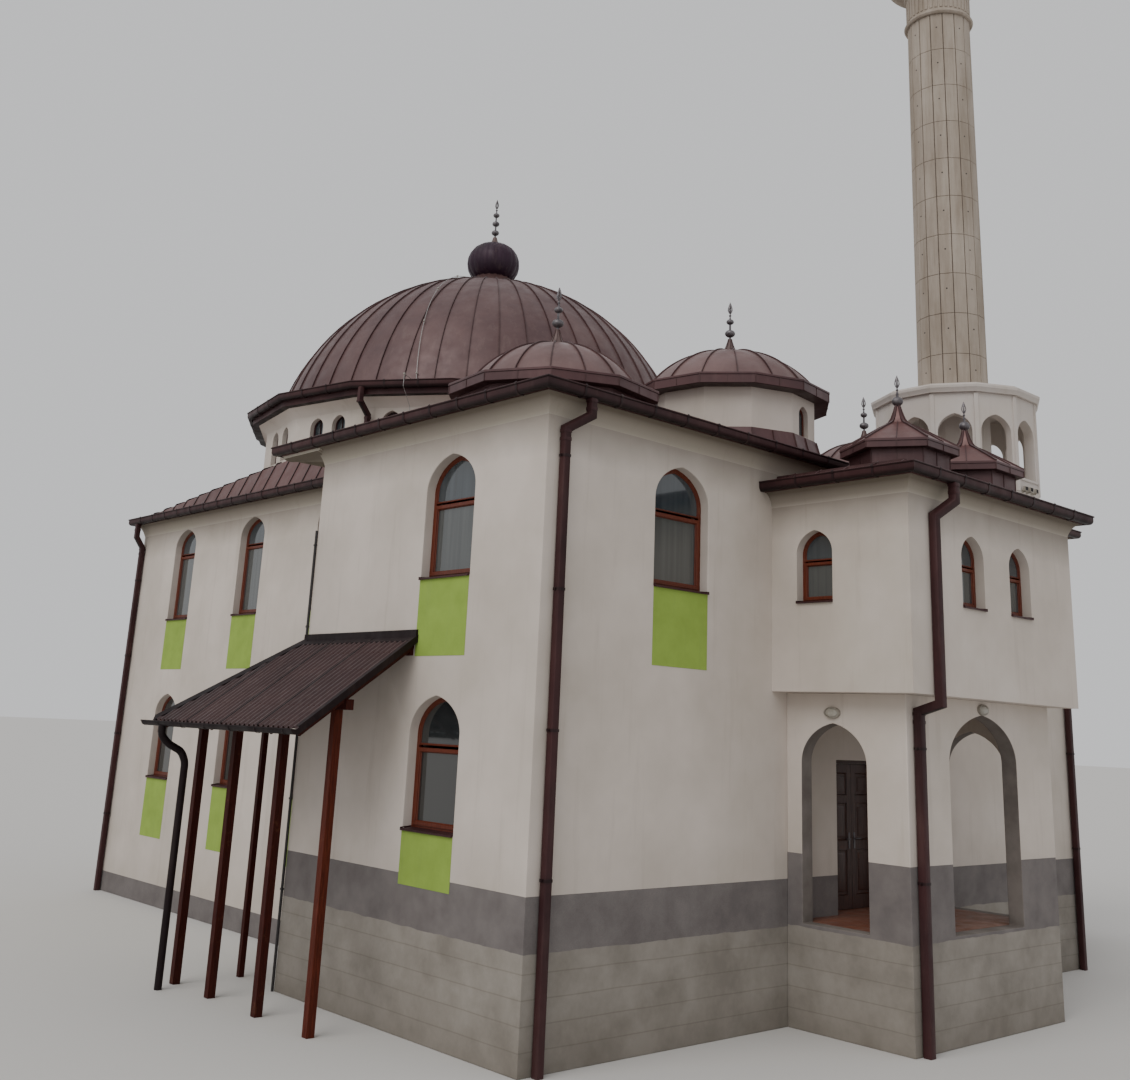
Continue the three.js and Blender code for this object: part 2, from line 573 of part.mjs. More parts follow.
function smallCap(x, base) {
  const cap = capShell(SMALL_CAP, 5, 24, x, SMALL.y, base);
  const top = SMALL_CAP.rise;
  const profile = [
    [0, top - 30], [330, top - 55], [150, top + 50], [60, top + 180], [36, top + 260], [60, top + 290],
    ...ballProfile(top + 500, 72), [28, top + 600], ...ballProfile(top + 740, 66), [24, top + 830],
    [60, top + 930], [44, top + 1060], [6, top + 1230], [0, top + 1230],
  ];
  return joined(cap, turned(profile, 10, x, SMALL.y, base));
}

function smallDomes() {
  for (const [side, word] of [[-1, 'left'], [1, 'right']]) {
    const x = side * SMALL.x;
    const ring = (radius) => corners(SMALL.sides, radius, x, SMALL.y, SMALL.turn);
    const hollow = ring(SIDE_DOME.body - 60);
    const body = prism(ring(SIDE_DOME.body), ROOF.flat + GAP, SIDE_DOME.eave + 1, hollow);
    const fascia = prism(ring(SIDE_DOME.fascia), SIDE_DOME.eave, SIDE_DOME.rim, hollow);
    const eye = ring(SMALL_CAP.radius - SMALL.lip);
    const lid = prism(ring(SIDE_DOME.fascia - 20), SIDE_DOME.rim - 40, SIDE_DOME.rim, eye);
    add(`${word}_dome_base`, joined(body, fascia, lid), gutterMetal());
    add(`${word}_dome`, smallCap(x, SIDE_DOME.rim + GAP), roofMetal());
  }
  const { body } = MID_DOME;
  const { sill } = MID_WINDOW;
  const wall = prism(midRing(body), ROOF.flat + GAP, MID_DOME.eave, midRing(body - SMALL.wall));
  const outline = windowOutline(0, sill, MID_WINDOW);
  const windows = MID_WINDOW.angles.map((angle) => (
    radialCutter(outline, THREE.MathUtils.degToRad(angle), body, 0, SMALL.y)));
  add('middle_drum_wall', cut(wall, ...windows), plaster());
  const glassOut = midRing(body - SMALL.wall - GAP);
  const glassIn = midRing(body - SMALL.wall - FRAME.pane);
  add('middle_drum_glazing', prism(glassOut, sill - 60, sill + MID_WINDOW.apex + 60, glassIn), glazing());
  const eye = midRing(SMALL_CAP.radius - SMALL.lip);
  const fascia = prism(midRing(MID_DOME.fascia), MID_DOME.eave + GAP, MID_DOME.rim, eye);
  add('middle_dome_fascia', fascia, gutterMetal());
  add('middle_dome', smallCap(0, MID_DOME.rim + GAP), roofMetal());
}

// The porch's turrets: a low hexagonal body, a fascia and a concave pointed roof

function turrets() {
  for (const [side, word] of [[-1, 'left'], [1, 'right']]) {
    const x = side * TURRET.x;
    const plan = (radius) => corners(TURRET.sides, radius, x, TURRET.y);
    const body = prism(plan(TURRET.body), PORCH_ROOF_TOP + GAP, TURRET.eave + 1);
    const fascia = prism(plan(TURRET.fascia), TURRET.eave, TURRET.rim + 1);
    const roof = [[TURRET.fascia, 0], [560, 150], [230, 330], [110, 480], [50, 640]];
    const tiers = roof.slice(1).map(([radius, height], i) => (
      loft(plan(roof[i][0]), TURRET.rim + roof[i][1] - (i ? 1 : 0), plan(radius), TURRET.rim + height)));
    const finial = turned([
      [0, 600], [40, 600], ...ballProfile(760, 85), [28, 860], [52, 930], [40, 1010], [6, 1130], [0, 1130],
    ], 8, x, TURRET.y, TURRET.rim);
    const hollow = prism(plan(TURRET.body - 50), PORCH_ROOF_TOP - 1, TURRET.eave - 40);
    add(`porch_turret_${word}`, cut(joined(body, fascia, ...tiers, finial), hollow), gutterMetal());
  }
}

// The canopy on the left, wrapped around the front block's rear corner

function canopy() {
  const wallX = -WING_HALF - GAP;
  const hallX = -HALL_HALF - GAP;
  const lowX = -WING_HALF - CANOPY.reach;
  const ridgeY = WING_BACK + GAP;
  const top = {
    a: [wallX, CANOPY.front], b: [lowX, CANOPY.front], c: [lowX, CANOPY.back], d: [wallX, ridgeY],
  };
  top.e = [hallX, CANOPY.back];
  top.f = [hallX, ridgeY];
  const plate = (keys, highKeys, lift, thick) => {
    const points = keys.flatMap((key) => {
      const z = (highKeys.includes(key) ? CANOPY.high : CANOPY.low) + lift;
      return [[...top[key], z], [...top[key], z - thick]];
    });
    return hullOf(points);
  };
  const sideKeys = ['a', 'b', 'c', 'd'];
  const backKeys = ['d', 'c', 'e', 'f'];
  const slopes = [plate(sideKeys, 'ad', 0, CANOPY.sheet), plate(backKeys, 'df', 0, CANOPY.sheet)];
  const { front, high } = CANOPY;
  const flashing = box(wallX - 160, wallX, front + 20, WING_BACK - 20, high - 140, high + 60);
  const below = plate(sideKeys, 'ad', -CANOPY.sheet / 2, 400);
  add('canopy_roof', joined(...slopes, cut(flashing, below)), gutterMetal());

  const slope = (CANOPY.high - CANOPY.low) / CANOPY.reach;
  const backSlope = (CANOPY.high - CANOPY.low) / (CANOPY.back - ridgeY);
  const under = (x) => CANOPY.high - slope * (-WING_HALF - x) - CANOPY.sheet - 1;
  const backUnder = (y) => CANOPY.high - backSlope * (y - ridgeY) - CANOPY.sheet - 1;
  const rowX = -WING_HALF - CANOPY.row;
  const backY = CANOPY.posts.at(-1);
  const beamTop = under(rowX) - 120;
  const backTop = backUnder(backY + 50) - 5;
  const hipX = (y) => -WING_HALF - (CANOPY.reach * (y - WING_BACK)) / (CANOPY.back - WING_BACK);
  const posts = CANOPY.posts.map((y) => post(rowX, y, 60, 0, y < backY ? beamTop - 60 : backTop - 60));
  posts.push(post(-WING_HALF + 80, backY, 45, 0, backTop - 60));
  const beam = box(rowX - 60, rowX + 60, CANOPY.front + 60, WING_BACK + 840, beamTop - 140, beamTop);
  const backBeam = box(hipX(backY) - 60, hallX, backY - 50, backY + 50, backTop - 140, backTop);
  const rafters = CANOPY.rafters.map((y) => {
    const [low, high] = [lowX + 60, wallX].map((x) => new THREE.Vector3(x, y, under(x)));
    return bar(low, high, 70, 125);
  });
  const hip = [WING_BACK + 20, CANOPY.back - 60].map((y) => new THREE.Vector3(hipX(y), y, backUnder(y) - 45));
  const ledgerTop = under(wallX - 60);
  const ledger = box(wallX - 60, wallX, CANOPY.front + 60, WING_BACK - 20, ledgerTop - 160, ledgerTop);
  add('canopy_frame', joined(beam, backBeam, ...posts, ...rafters, bar(...hip, 80, 150), ledger), timber());

  const gutter = { x: lowX - 70 - GAP, z: CANOPY.low - 30, radius: 70, sheet: 8 };
  const halfRound = (radius, rise) => {
    const arc = Array.from({ length: 7 }, (_, i) => polar(radius, Math.PI * (1 + i / 6), gutter.x, gutter.z));
    return rise ? [...arc, [gutter.x + radius, gutter.z + rise], [gutter.x - radius, gutter.z + rise]] : arc;
  };
  const ends = [CANOPY.front - 30, CANOPY.back + 160];
  const { sheet: skin } = gutter;
  const bore = wallAcross(halfRound(gutter.radius - skin, 20), [], ends[0] + skin, ends[1] - skin);
  const trough = cut(wallAcross(halfRound(gutter.radius, 0), [], ...ends), bore);
  const route = [[0, -50], [0, -170], [130, -330], [300, -470], [310, -700], [310, -gutter.z]];
  const pipeY = CANOPY.back + 60;
  const ring = ([out, lift]) => corners(8, 40, gutter.x + out, pipeY).map((at) => [...at, gutter.z + lift]);
  const pipe = route.slice(1).map((end, i) => hullOf([...ring(route[i]), ...ring(end)]));
  add('canopy_gutter', joined(trough, ...pipe), gutterMetal());
}

// Downpipes: a box outlet under the gutter, an offset and a long drop with clips

const PIPE = { half: 55, kneeHigh: 330, kneeLow: 620 }; // the knees lie this much below the gutter
const PORCH_PIPE = { half: 65, kneeHigh: 230, kneeLow: 520, x: -PORCH_UPPER_HALF + 560, shift: 260 };

const post = (x, y, half, z0, z1) => box(x - half, x + half, y - half, y + half, z0, z1);

function downpipe(x, y, outletX, outletY, top) {
  const { half } = PIPE;
  const kneeHigh = top - PIPE.kneeHigh;
  const kneeLow = top - PIPE.kneeLow;
  const drop = post(x, y, half, 0, kneeLow + 40);
  const outlet = post(outletX, outletY, half, kneeHigh - 40, top);
  return joined(drop, outlet, slanted([x, y, kneeLow], [outletX, outletY, kneeHigh], half));
}

function mainDownpipes() {
  const bottom = EAVE_TOP - GUTTER.depth + 5;
  const middle = EAVE - GUTTER.width / 2;
  const hallY = HALL_BACK - 110;
  return [-1, 1].flatMap((side) => [
    downpipe(side * (WING_HALF - 215), FACE - 75, side * (WING_HALF - 620), FACE - middle, bottom),
    downpipe(side * (HALL_HALF + 75), hallY, side * (HALL_HALF + middle), hallY, bottom),
  ]);
}

// the porch's pipe steps back below the upper storey
function porchDownpipe() {
  const { half, x } = PORCH_PIPE;
  const top = PORCH_EAVE_TOP - GUTTER.depth + 5;
  const upperY = FACE - PORCH_UPPER_REACH - 75;
  const lowerY = FACE - PORCH_LOWER_REACH - 75;
  const outletX = x + PORCH_PIPE.shift;
  const outletY = FACE - PORCH_UPPER_REACH - EAVE + half;
  return joined(
    post(x, upperY, half, JETTY - 120, top - PORCH_PIPE.kneeLow + 20),
    post(outletX, outletY, half, top - PORCH_PIPE.kneeHigh - 30, top),
    post(x, lowerY, half, 0, JETTY - 330),
    slanted([x, upperY, top - PORCH_PIPE.kneeLow], [outletX, outletY, top - PORCH_PIPE.kneeHigh], half),
    slanted([x, upperY, JETTY - 100], [x, lowerY, JETTY - 360], half),
  );
}

// Windows: a timber frame with a transom, and one pane behind it

// Each maker takes an elevation outline, its holes and two depths from the wall's face.

const frontMaker = (y) => (outline, holes, a, b) => wallAcross(outline, holes, y + a, y + b);
const backMaker = (y) => (outline, holes, a, b) => wallAcross(outline, holes, y - b, y - a);

function sideMaker(side, reach) {
  return (outline, holes, a, b) => wallAlong(outline, holes, ...mirrored(reach - b, reach - a, side));
}

function transom(centre, sill, size, make) {
  const half = size.half - GAP - 5;
  const level = sill + size.spring;
  const outline = rectangle(centre - half, centre + half, level - TRANSOM.low, level - TRANSOM.high);
  return make(outline, [], REVEAL, REVEAL + FRAME.depth);
}

function framed(centre, sill, size, make) {
  const outline = windowOutline(centre, sill, size, GAP);
  const frame = make(outline, [windowOutline(centre, sill, size, FRAME.bar)], REVEAL, REVEAL + FRAME.depth);
  const paneOutline = windowOutline(centre, sill, size, FRAME.bar - 8);
  const pane = make(paneOutline, [], REVEAL + FRAME.paneFrom, REVEAL + FRAME.paneTo);
  return joined(frame, transom(centre, sill, size, make), pane);
}

// a deep frame that reaches back to the pane inside the wall
function deepFrame(centre, sill, size, make, bar, near, far) {
  return make(windowOutline(centre, sill, size, GAP), [windowOutline(centre, sill, size, bar)], near, far + 8);
}

const hallLevels = [[LOWER_SILL, HALL_WINDOW], [UPPER_SILL, HALL_HIGH_WINDOW]];

// one pane inside the wall closes all its windows
function hallWindowsIn(centres, make) {
  const [first, last] = [Math.min(...centres) - 700, Math.max(...centres) + 700];
  const pane = rectangle(first, last, LOWER_SILL - 100, UPPER_SILL + HALL_HIGH_WINDOW.apex + 60);
  const frames = centres.flatMap((centre) => hallLevels.flatMap(([sill, size]) => [
    deepFrame(centre, sill, size, make, FRAME.bar, REVEAL, WALL),
    transom(centre, sill, size, make),
  ]));
  return joined(make(pane, [], WALL + GAP, WALL + FRAME.pane), ...frames);
}

function windows() {
  for (const [side, word] of [[-1, 'left'], [1, 'right']]) {
    for (const [level, sill] of [['lower', LOWER_SILL], ['upper', UPPER_SILL]]) {
      const frame = framed(SIDE_WINDOW_Y, sill, WINDOW, sideMaker(side, WING_HALF));
      add(`wing_${word}_${level}_window`, frame, timber());
    }
    const front = framed(side * FRONT_WINDOW_X, UPPER_SILL, WINDOW, frontMaker(FACE));
    add(`wing_front_window_${word}`, front, timber());
    add(`hall_windows_${word}`, hallWindowsIn(hallBays, sideMaker(side, HALL_HALF)), timber());
  }
  add('hall_windows_back', hallWindowsIn([-HALL_BAY, HALL_BAY], backMaker(HALL_BACK)), timber());
}

// the porch's four windows share one pane, bent round its upper room
function porchWindows() {
  const reach = FACE - PORCH_UPPER_REACH;
  const [x, y] = [PORCH_UPPER_HALF - THIN_WALL - GAP, reach + THIN_WALL + GAP];
  const back = FACE - 420;
  const [innerX, innerY] = [x - FRAME.pane, y + FRAME.pane];
  const turnIn = [[innerX, back], [innerX, innerY], [-innerX, innerY], [-innerX, back]];
  const plan = [[-x, back], [-x, y], [x, y], [x, back], ...turnIn];
  const screen = prism(plan, UPPER_SILL - 80, UPPER_SILL + PORCH_WINDOW.apex + 80);
  const frame = (make, centre) => (
    deepFrame(centre, UPPER_SILL, PORCH_WINDOW, make, FRAME.narrow, 110, THIN_WALL));
  const frames = [-1, 1].flatMap((side) => [
    frame(sideMaker(side, PORCH_UPPER_HALF), PORCH_SIDE_WINDOW_Y),
    frame(frontMaker(reach), side * PORCH_WINDOW_X),
  ]);
  add('porch_windows', joined(screen, ...frames), timber());
}

// The main door: a lining and two leaves that open inward on pin hinges

function mainDoor() {
  const face = FACE + WALL; // the wall's inner face
  const { bar, leaf } = DOOR;
  const jamb = DOOR.half - 2 * GAP;
  const head = GROUND_FLOOR + DOOR.height - GAP;
  const foot = GROUND_FLOOR + GAP;
  const front = face - DOOR.depth;
  const lining = [-1, 1].map((side) => sideBox(side, jamb - bar, jamb, front, face, foot, head));
  lining.push(box(-jamb, jamb, front, face, head - bar, head));
  const hingeY = face + DOOR.pinOut;
  const pinX = jamb - bar - DOOR.clear / 2;
  const heights = [GROUND_FLOOR + 250, GROUND_FLOOR + DOOR.height - 400];
  for (const side of [-1, 1]) {
    for (const z of heights) {
      const { barrel, pin: thin, stub } = HINGE;
      const pinRows = [[0, 0], [barrel, 0], [barrel, stub], [thin, stub], [thin, stub + 65], [0, stub + 65]];
      const pin = turned(pinRows, 12, side * pinX, hingeY, z);
      const strap = sideBox(side, pinX + 6, jamb - 4, hingeY - 5, hingeY + 3, z, z + 44);
      const seat = sideBox(side, pinX + 20, jamb - 4, face - 10, hingeY, z, z + 44);
      lining.push(pin, strap, seat);
    }
  }
  add('door_lining', joined(...lining), timber());

  for (const [side, word] of [[-1, 'left'], [1, 'right']]) {
    const outer = jamb - bar - DOOR.clear;
    const inner = DOOR.clear / 2;
    const z0 = GROUND_FLOOR + DOOR.clear + 3;
    const z1 = head - bar - DOOR.clear;
    const panel = sideBox(side, inner, outer, face - 4 - leaf, face - 4, z0, z1);
    const { barrel, bore, knuckle, stub } = HINGE;
    const rows = [[bore, 0], [barrel, 0], [barrel, knuckle], [bore, knuckle], [bore, 0]];
    const knuckles = heights.map((z) => turned(rows, 12, side * pinX, hingeY, z + stub + GAP));
    const strap = (z) => sideBox(side, outer - 70, pinX - 9, face - 5, hingeY + 3, z + 47, z + 103);
    const grip = GROUND_FLOOR + DOOR.handle;
    const handle = [
      sideBox(side, inner + 60, inner + 82, face - 100, face - 50, grip, grip + 22),
      sideBox(side, inner + 60, inner + 190, face - 110, face - 92, grip, grip + 22),
    ];
    add(`door_leaf_${word}`, joined(panel, ...knuckles, ...heights.map(strap), ...handle), timber());
  }
}

// The minaret: an open arcade on a twelve-sided tower, a sixteen-sided stone shaft and a balcony

function minaret() {
  const { x, y } = MINARET;
  const plan = (radius) => corners(MINARET.sides, radius, x, y, 0.5);
  const tower = prism(plan(MINARET.radius), 0, SLAB.bottom, plan(MINARET.radius - THIN_WALL));
  const arches = Array.from({ length: MINARET.sides }, (_, i) => {
    const outline = archOutline(0, ARCADE.half, ARCADE.sill, ARCADE.spring, ARCADE.apex, 4);
    return radialCutter(outline, (i * 2 * Math.PI) / MINARET.sides, MINARET.radius, x, y);
  });
  add('minaret_tower', cut(tower, ...arches), plaster());

  const ring = (radius, turn = SHAFT.turn) => corners(SHAFT.sides, radius, x, y, turn);
  const core = prism(ring(SHAFT.foot), 0, SLAB.bottom - GAP, ring(SHAFT.bore));
  const walk = plan(MINARET.radius - THIN_WALL - GAP);
  const gallery = prism(walk, ARCADE.sill - 250, ARCADE.sill - 60, ring(SHAFT.foot - 20));
  add('minaret_core', joined(core, gallery), plaster());

  const slab = prism(plan(SLAB.radius), SLAB.bottom + GAP, SLAB.top, ring(SHAFT.bore));
  const lip = prism(plan(SLAB.radius - 70), SLAB.top - 1, SLAB.top + 45, ring(SHAFT.bore));
  add('minaret_slab', joined(slab, lip), plaster());

  const foot = SLAB.top + 45 + GAP;
  const shaft = loft(ring(SHAFT.foot), foot, ring(SHAFT.head), SHAFT.top);
  add('minaret_shaft', cut(shaft, prism(ring(SHAFT.bore), foot - 1, SHAFT.top + 1)), stone());

  const top = SHAFT.top + GAP;
  const rise = BALCONY.floor - SHAFT.top;
  const { radius: edge, parapet } = BALCONY;
  const profile = [
    [SHAFT.bore, 0], [880, 0], [905, 45], [880, 90], [800, 130], [800, rise - 560], [880, rise - 520],
    [900, rise - 430], [1010, rise - 390], [1030, rise - 300], [1160, rise - 260], [1180, rise - 150],
    [edge, rise - 110], [edge, rise + parapet], [edge - 90, rise + parapet], [edge - 90, rise],
    [SHAFT.bore, rise], [SHAFT.bore, 0],
  ];
  add('minaret_balcony', turned(profile, 24, x, y, top), stone());

  const deck = BALCONY.floor + 2 * GAP;
  const [bore, cap, height] = [SHAFT.bore - 60, SPIRE.radius - 60, UPPER_SHAFT.top - deck];
  const upper = turned([
    [bore, 0], [UPPER_SHAFT.radius, 0], [UPPER_SHAFT.radius, height - 220],
    [cap, height - 90], [cap, height], [bore, height], [bore, 0],
  ], 16, x, y, deck);
  add('minaret_upper_shaft', upper, stone());

  const h = SPIRE.rise;
  const spire = [
    [0, 0], [SPIRE.radius, 0], [SPIRE.radius, 120], [780, 200], [500, h * 0.4], [220, h * 0.78],
    [60, h], [50, h + 90], ...ballProfile(h + 240, 110), [34, h + 380], ...ballProfile(h + 500, 95),
    [30, h + 620], ...ballProfile(h + 730, 80), [26, h + 830], [80, h + 990], [56, h + 1190],
    [8, h + 1480], [0, h + 1480],
  ];
  add('minaret_spire', turned(spire, 16, x, y, UPPER_SHAFT.top + GAP), roofMetal());
}

frontBlock();
prayerHall();
floors();
porch();
eaves();
roofs();
drum();
mainDome();
smallDomes();
turrets();
canopy();
windows();
porchWindows();
mainDoor();
minaret();

export default building;
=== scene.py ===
import json
import math
import bmesh
import bpy
from mathutils import Matrix, Vector
from mathutils.bvhtree import BVHTree

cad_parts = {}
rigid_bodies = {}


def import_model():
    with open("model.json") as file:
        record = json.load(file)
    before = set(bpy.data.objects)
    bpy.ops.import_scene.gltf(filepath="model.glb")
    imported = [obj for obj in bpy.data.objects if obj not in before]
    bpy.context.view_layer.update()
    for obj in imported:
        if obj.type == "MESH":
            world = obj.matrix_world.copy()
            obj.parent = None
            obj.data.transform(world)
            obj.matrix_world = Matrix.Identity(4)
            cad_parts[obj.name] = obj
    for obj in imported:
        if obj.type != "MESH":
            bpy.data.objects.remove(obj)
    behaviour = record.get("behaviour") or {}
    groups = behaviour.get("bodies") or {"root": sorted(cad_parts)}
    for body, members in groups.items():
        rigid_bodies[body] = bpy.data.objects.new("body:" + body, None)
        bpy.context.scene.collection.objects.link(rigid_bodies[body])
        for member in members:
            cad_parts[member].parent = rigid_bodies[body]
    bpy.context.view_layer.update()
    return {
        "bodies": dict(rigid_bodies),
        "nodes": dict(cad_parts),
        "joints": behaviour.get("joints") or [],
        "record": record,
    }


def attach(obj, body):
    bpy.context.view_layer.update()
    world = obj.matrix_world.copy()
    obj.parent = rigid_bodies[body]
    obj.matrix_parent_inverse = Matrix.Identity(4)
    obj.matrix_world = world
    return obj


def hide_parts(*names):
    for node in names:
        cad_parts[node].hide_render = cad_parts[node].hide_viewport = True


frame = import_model()
nodes = frame["nodes"]
building, leftLeaf, rightLeaf = "building", "left_leaf", "right_leaf"
print("frame loaded:", len(nodes), "nodes")


# The building's main sizes, in metres

site = {
    "wingHalf": 7.1, "face": -0.175, "wingBack": 5.365, "hallHalf": 5.14, "hallBack": 16.615, "floor": 1.4,
    "lowSill": 2.536, "highSill": 5.917, "sideWindow": 1.875, "frontWindow": 4.455, "hallMiddle": 11.265,
    "hallBay": 3.07, "eave": 8.35, "porchEave": 7.75, "wallTop": 8.03, "dome": (0, 10.275),
    "smallDome": (4.46, 2.725),
}
# the porch: half its width, its front face, and where the openings of its sides and front stand
arcadeSize = {"half": 2.05, "front": -2.23, "top": 4.6097, "sideArch": -1.005, "thick": 0.25}
roomSize = {
    "half": 2.4, "front": -2.575, "low": 4.6102, "top": 7.3795, "sideWindow": -0.965, "frontWindow": 0.7,
}
porchArches = {
    "front": {"half": 0.96, "spring": 2.305, "apex": 3.0},
    "side": {"half": 0.56, "spring": 2.21, "apex": 2.78},
}


# Socket maths, shared by the shader trees and the geometry trees


class Wire:
    def __init__(self, tree, socket):
        self.tree, self.socket = tree, socket

    def __add__(self, other):
        return self.tree.math("ADD", self, other)

    def __sub__(self, other):
        return self.tree.math("SUBTRACT", self, other)

    def __rsub__(self, other):
        return self.tree.math("SUBTRACT", other, self)

    def __mul__(self, other):
        return self.tree.math("MULTIPLY", self, other)

    def __gt__(self, other):
        return self.tree.math("GREATER_THAN", self, other)

    def __lt__(self, other):
        return self.tree.math("LESS_THAN", self, other)


class Tree:
    def __init__(self, tree):
        self.tree = tree

    def node(self, kind, settings=None, inputs=None, output=0):
        node = self.tree.nodes.new(kind)
        for key, value in (settings or {}).items():
            setattr(node, key, value)
        for key, value in (inputs or {}).items():
            if isinstance(value, Wire):
                self.tree.links.new(value.socket, node.inputs[key])
            else:
                node.inputs[key].default_value = value
        return Wire(self, node.outputs[output])

    def math(self, operation, *values):
        return self.node("ShaderNodeMath", {"operation": operation}, dict(enumerate(values)))

    def also(self, wire, output):
        return Wire(self, wire.socket.node.outputs[output])


class Paint(Tree):
    def __init__(self, name):
        self.material = bpy.data.materials.new(name)
        self.material.use_nodes = True
        super().__init__(self.material.node_tree)
        self.tree.nodes.clear()
        self.place = self.node("ShaderNodeTexCoord", output=3)
        apart = self.node("ShaderNodeSeparateXYZ", None, {0: self.place})
        self.x, self.y, self.z = apart, self.also(apart, 1), self.also(apart, 2)
        facing = self.node("ShaderNodeTexCoord", output=1)
        self.facingUp = self.also(self.node("ShaderNodeSeparateXYZ", None, {0: facing}), 2)

    def stretched(self, x, y, z):
        return self.node("ShaderNodeMapping", None, {0: self.place, 3: (x, y, z)})

    def noise(self, scale, detail=3, rough=0.5, place=None):
        settings = {0: place or self.place, "Scale": scale, "Detail": detail, "Roughness": rough}
        return self.node("ShaderNodeTexNoise", None, settings)

    def spread(self, value, low, high, toLow=0.0, toHigh=1.0):
        return self.node("ShaderNodeMapRange", None, {0: value, 1: low, 2: high, 3: toLow, 4: toHigh})

    def mix(self, factor, first, second):
        def paint(value):
            return (*value, 1) if isinstance(value, tuple) else value
        colours = {0: factor, 6: paint(first), 7: paint(second)}
        return self.node("ShaderNodeMix", {"data_type": "RGBA"}, colours, 2)

    def bump(self, height, distance, normal=None):
        inputs = {"Height": height, "Distance": distance, "Strength": 1.0}
        if normal:
            inputs["Normal"] = normal
        return self.node("ShaderNodeBump", None, inputs)

    def done(self, **sockets):
        words = {
            "color": "Base Color", "rough": "Roughness", "metal": "Metallic", "normal": "Normal",
            "coat": "Coat Weight", "coatRough": "Coat Roughness", "specular": "Specular IOR Level",
        }
        shader = self.tree.nodes.new("ShaderNodeBsdfPrincipled")
        for key, value in sockets.items():
            socket = shader.inputs[words[key]]
            if isinstance(value, Wire):
                self.tree.links.new(value.socket, socket)
            else:
                socket.default_value = (*value, 1) if isinstance(value, tuple) else value
        out = self.tree.nodes.new("ShaderNodeOutputMaterial")
        self.tree.links.new(shader.outputs[0], out.inputs[0])
        return self.material


def shade(red, green, blue):
    # a colour as a picture shows it, to linear light
    return tuple((value / 255) ** 2.2 for value in (red, green, blue))


# Finishes

renderCoat = {
    "white": shade(208, 198, 189), "shadow": shade(190, 180, 169), "grey": shade(124, 118, 116),
    "greyDeep": shade(106, 100, 99), "speck": shade(88, 84, 83), "reveal": shade(104, 97, 92),
    "revealPale": shade(128, 121, 116), "dirt": shade(146, 132, 118), "bare": shade(148, 142, 134),
    "bareDeep": shade(126, 120, 112), "soil": shade(88, 78, 66), "grain": 260, "grainDepth": 0.0012,
    # painted shade: this row's colour and amounts darken faces that look down and the wall below the eave
    "underside": shade(84, 74, 62), "eaveShade": 0.5, "eaveShadeDepth": 0.55,
}


def plinthBand(p, base, top, reveals):
    # the painted grey band up to a height, and the arch reveals of the porch
    c = renderCoat
    tone = p.spread(p.noise(2.4, 5, 0.6), 0.35, 0.7)
    grey = p.mix(
        p.spread(p.noise(140, 2), 0.4, 0.65, 0.0, 0.35), p.mix(tone, c["grey"], c["greyDeep"]), c["speck"],
    )
    wobble = p.noise(9, 2) * 0.003
    painted = p.mix(p.z - top + wobble < 0, base, grey)
    if not reveals:
        return painted
    a, half = arcadeSize, arcadeSize["thick"] / 2
    insideX = p.math("COMPARE", p.math("ABSOLUTE", p.x), a["half"] - half, half - 0.004)
    insideY = p.math("COMPARE", p.y, a["front"] + half, half - 0.004)
    behindFront = p.y > a["front"] + a["thick"] + 0.008
    atSide = p.math("COMPARE", p.y, a["sideArch"], porchArches["side"]["half"] + 0.006) * behindFront
    atFront = p.math("ABSOLUTE", p.x) < porchArches["front"]["half"] + 0.006
    inside = p.math("MAXIMUM", insideX * atSide, insideY * atFront)
    return p.mix(inside, painted, p.mix(tone, c["revealPale"], c["reveal"]))


def bareFoot(p, base, top):
    # cast concrete below the ground line of the front, with board marks and soil stains
    c = renderCoat
    board = p.math("PINGPONG", p.z + p.noise(1.2, 2) * 0.02, 0.14)
    mark = p.spread(board, 0.0, 0.012, 0.35, 0.0)
    tone = p.spread(p.noise(1.6, 6, 0.65), 0.35, 0.68)
    concrete = p.mix(mark, p.mix(tone, c["bare"], c["bareDeep"]), c["soil"])
    damp = p.spread(p.z + p.noise(2.2, 4) * 0.5, 0.1, 0.9, 0.35, 0.0)
    concrete = p.mix(damp, concrete, c["soil"])
    return p.mix(p.z - top + p.noise(3.4, 4) * 0.05 < 0, base, concrete)


def wallFinish(
    name, plinthTop=None, reveals=False, white=renderCoat["white"], hallTop=None, foot=None, under=0.0,
    eave=None,
):
    p = Paint(name)
    c = renderCoat
    cloud = p.spread(p.noise(0.55, 4, 0.6), 0.35, 0.7)
    base = p.mix(cloud, white, c["shadow"])
    runs = p.noise(1.0, 5, 0.65, p.stretched(5.0, 5.0, 0.35))
    base = p.mix(p.spread(runs, 0.56, 0.8, 0.0, 0.28), base, c["dirt"])
    if plinthTop:
        atHall = p.y > site["wingBack"] + 0.002
        top = p.spread(atHall, 0, 1, plinthTop, hallTop) if hallTop else plinthTop
        splash = p.spread(p.z - top + p.noise(9, 2) * 0.4, 0, 0.75, 0.22, 0.0)
        base = p.mix(splash * p.noise(3.2, 4), base, c["dirt"])
        base = plinthBand(p, base, top, reveals)
    if foot:
        base = bareFoot(p, base, p.spread(atHall, 0, 1, foot, -1.0) if hallTop else foot)
    # painted shade: faces that look down are darkened
    if under:
        base = p.mix(p.spread(p.facingUp, -0.75, 0.1, under, 0.0), base, c["underside"])
    if eave:
        # painted shade: the wall darkens below the eave
        low = eave - c["eaveShadeDepth"]
        base = p.mix(
            p.spread(p.z + p.noise(1.8, 3) * 0.2 - 0.1, low, eave, 0.0, c["eaveShade"]), base, c["underside"],
        )
    fine = p.noise(c["grain"], 3, 0.7)
    normal = p.bump(fine, c["grainDepth"], p.bump(p.noise(2.2, 3, 0.5), 0.006))
    return p.done(color=base, rough=p.spread(fine, 0.3, 0.7, 0.82, 0.95), normal=normal, specular=0.3)


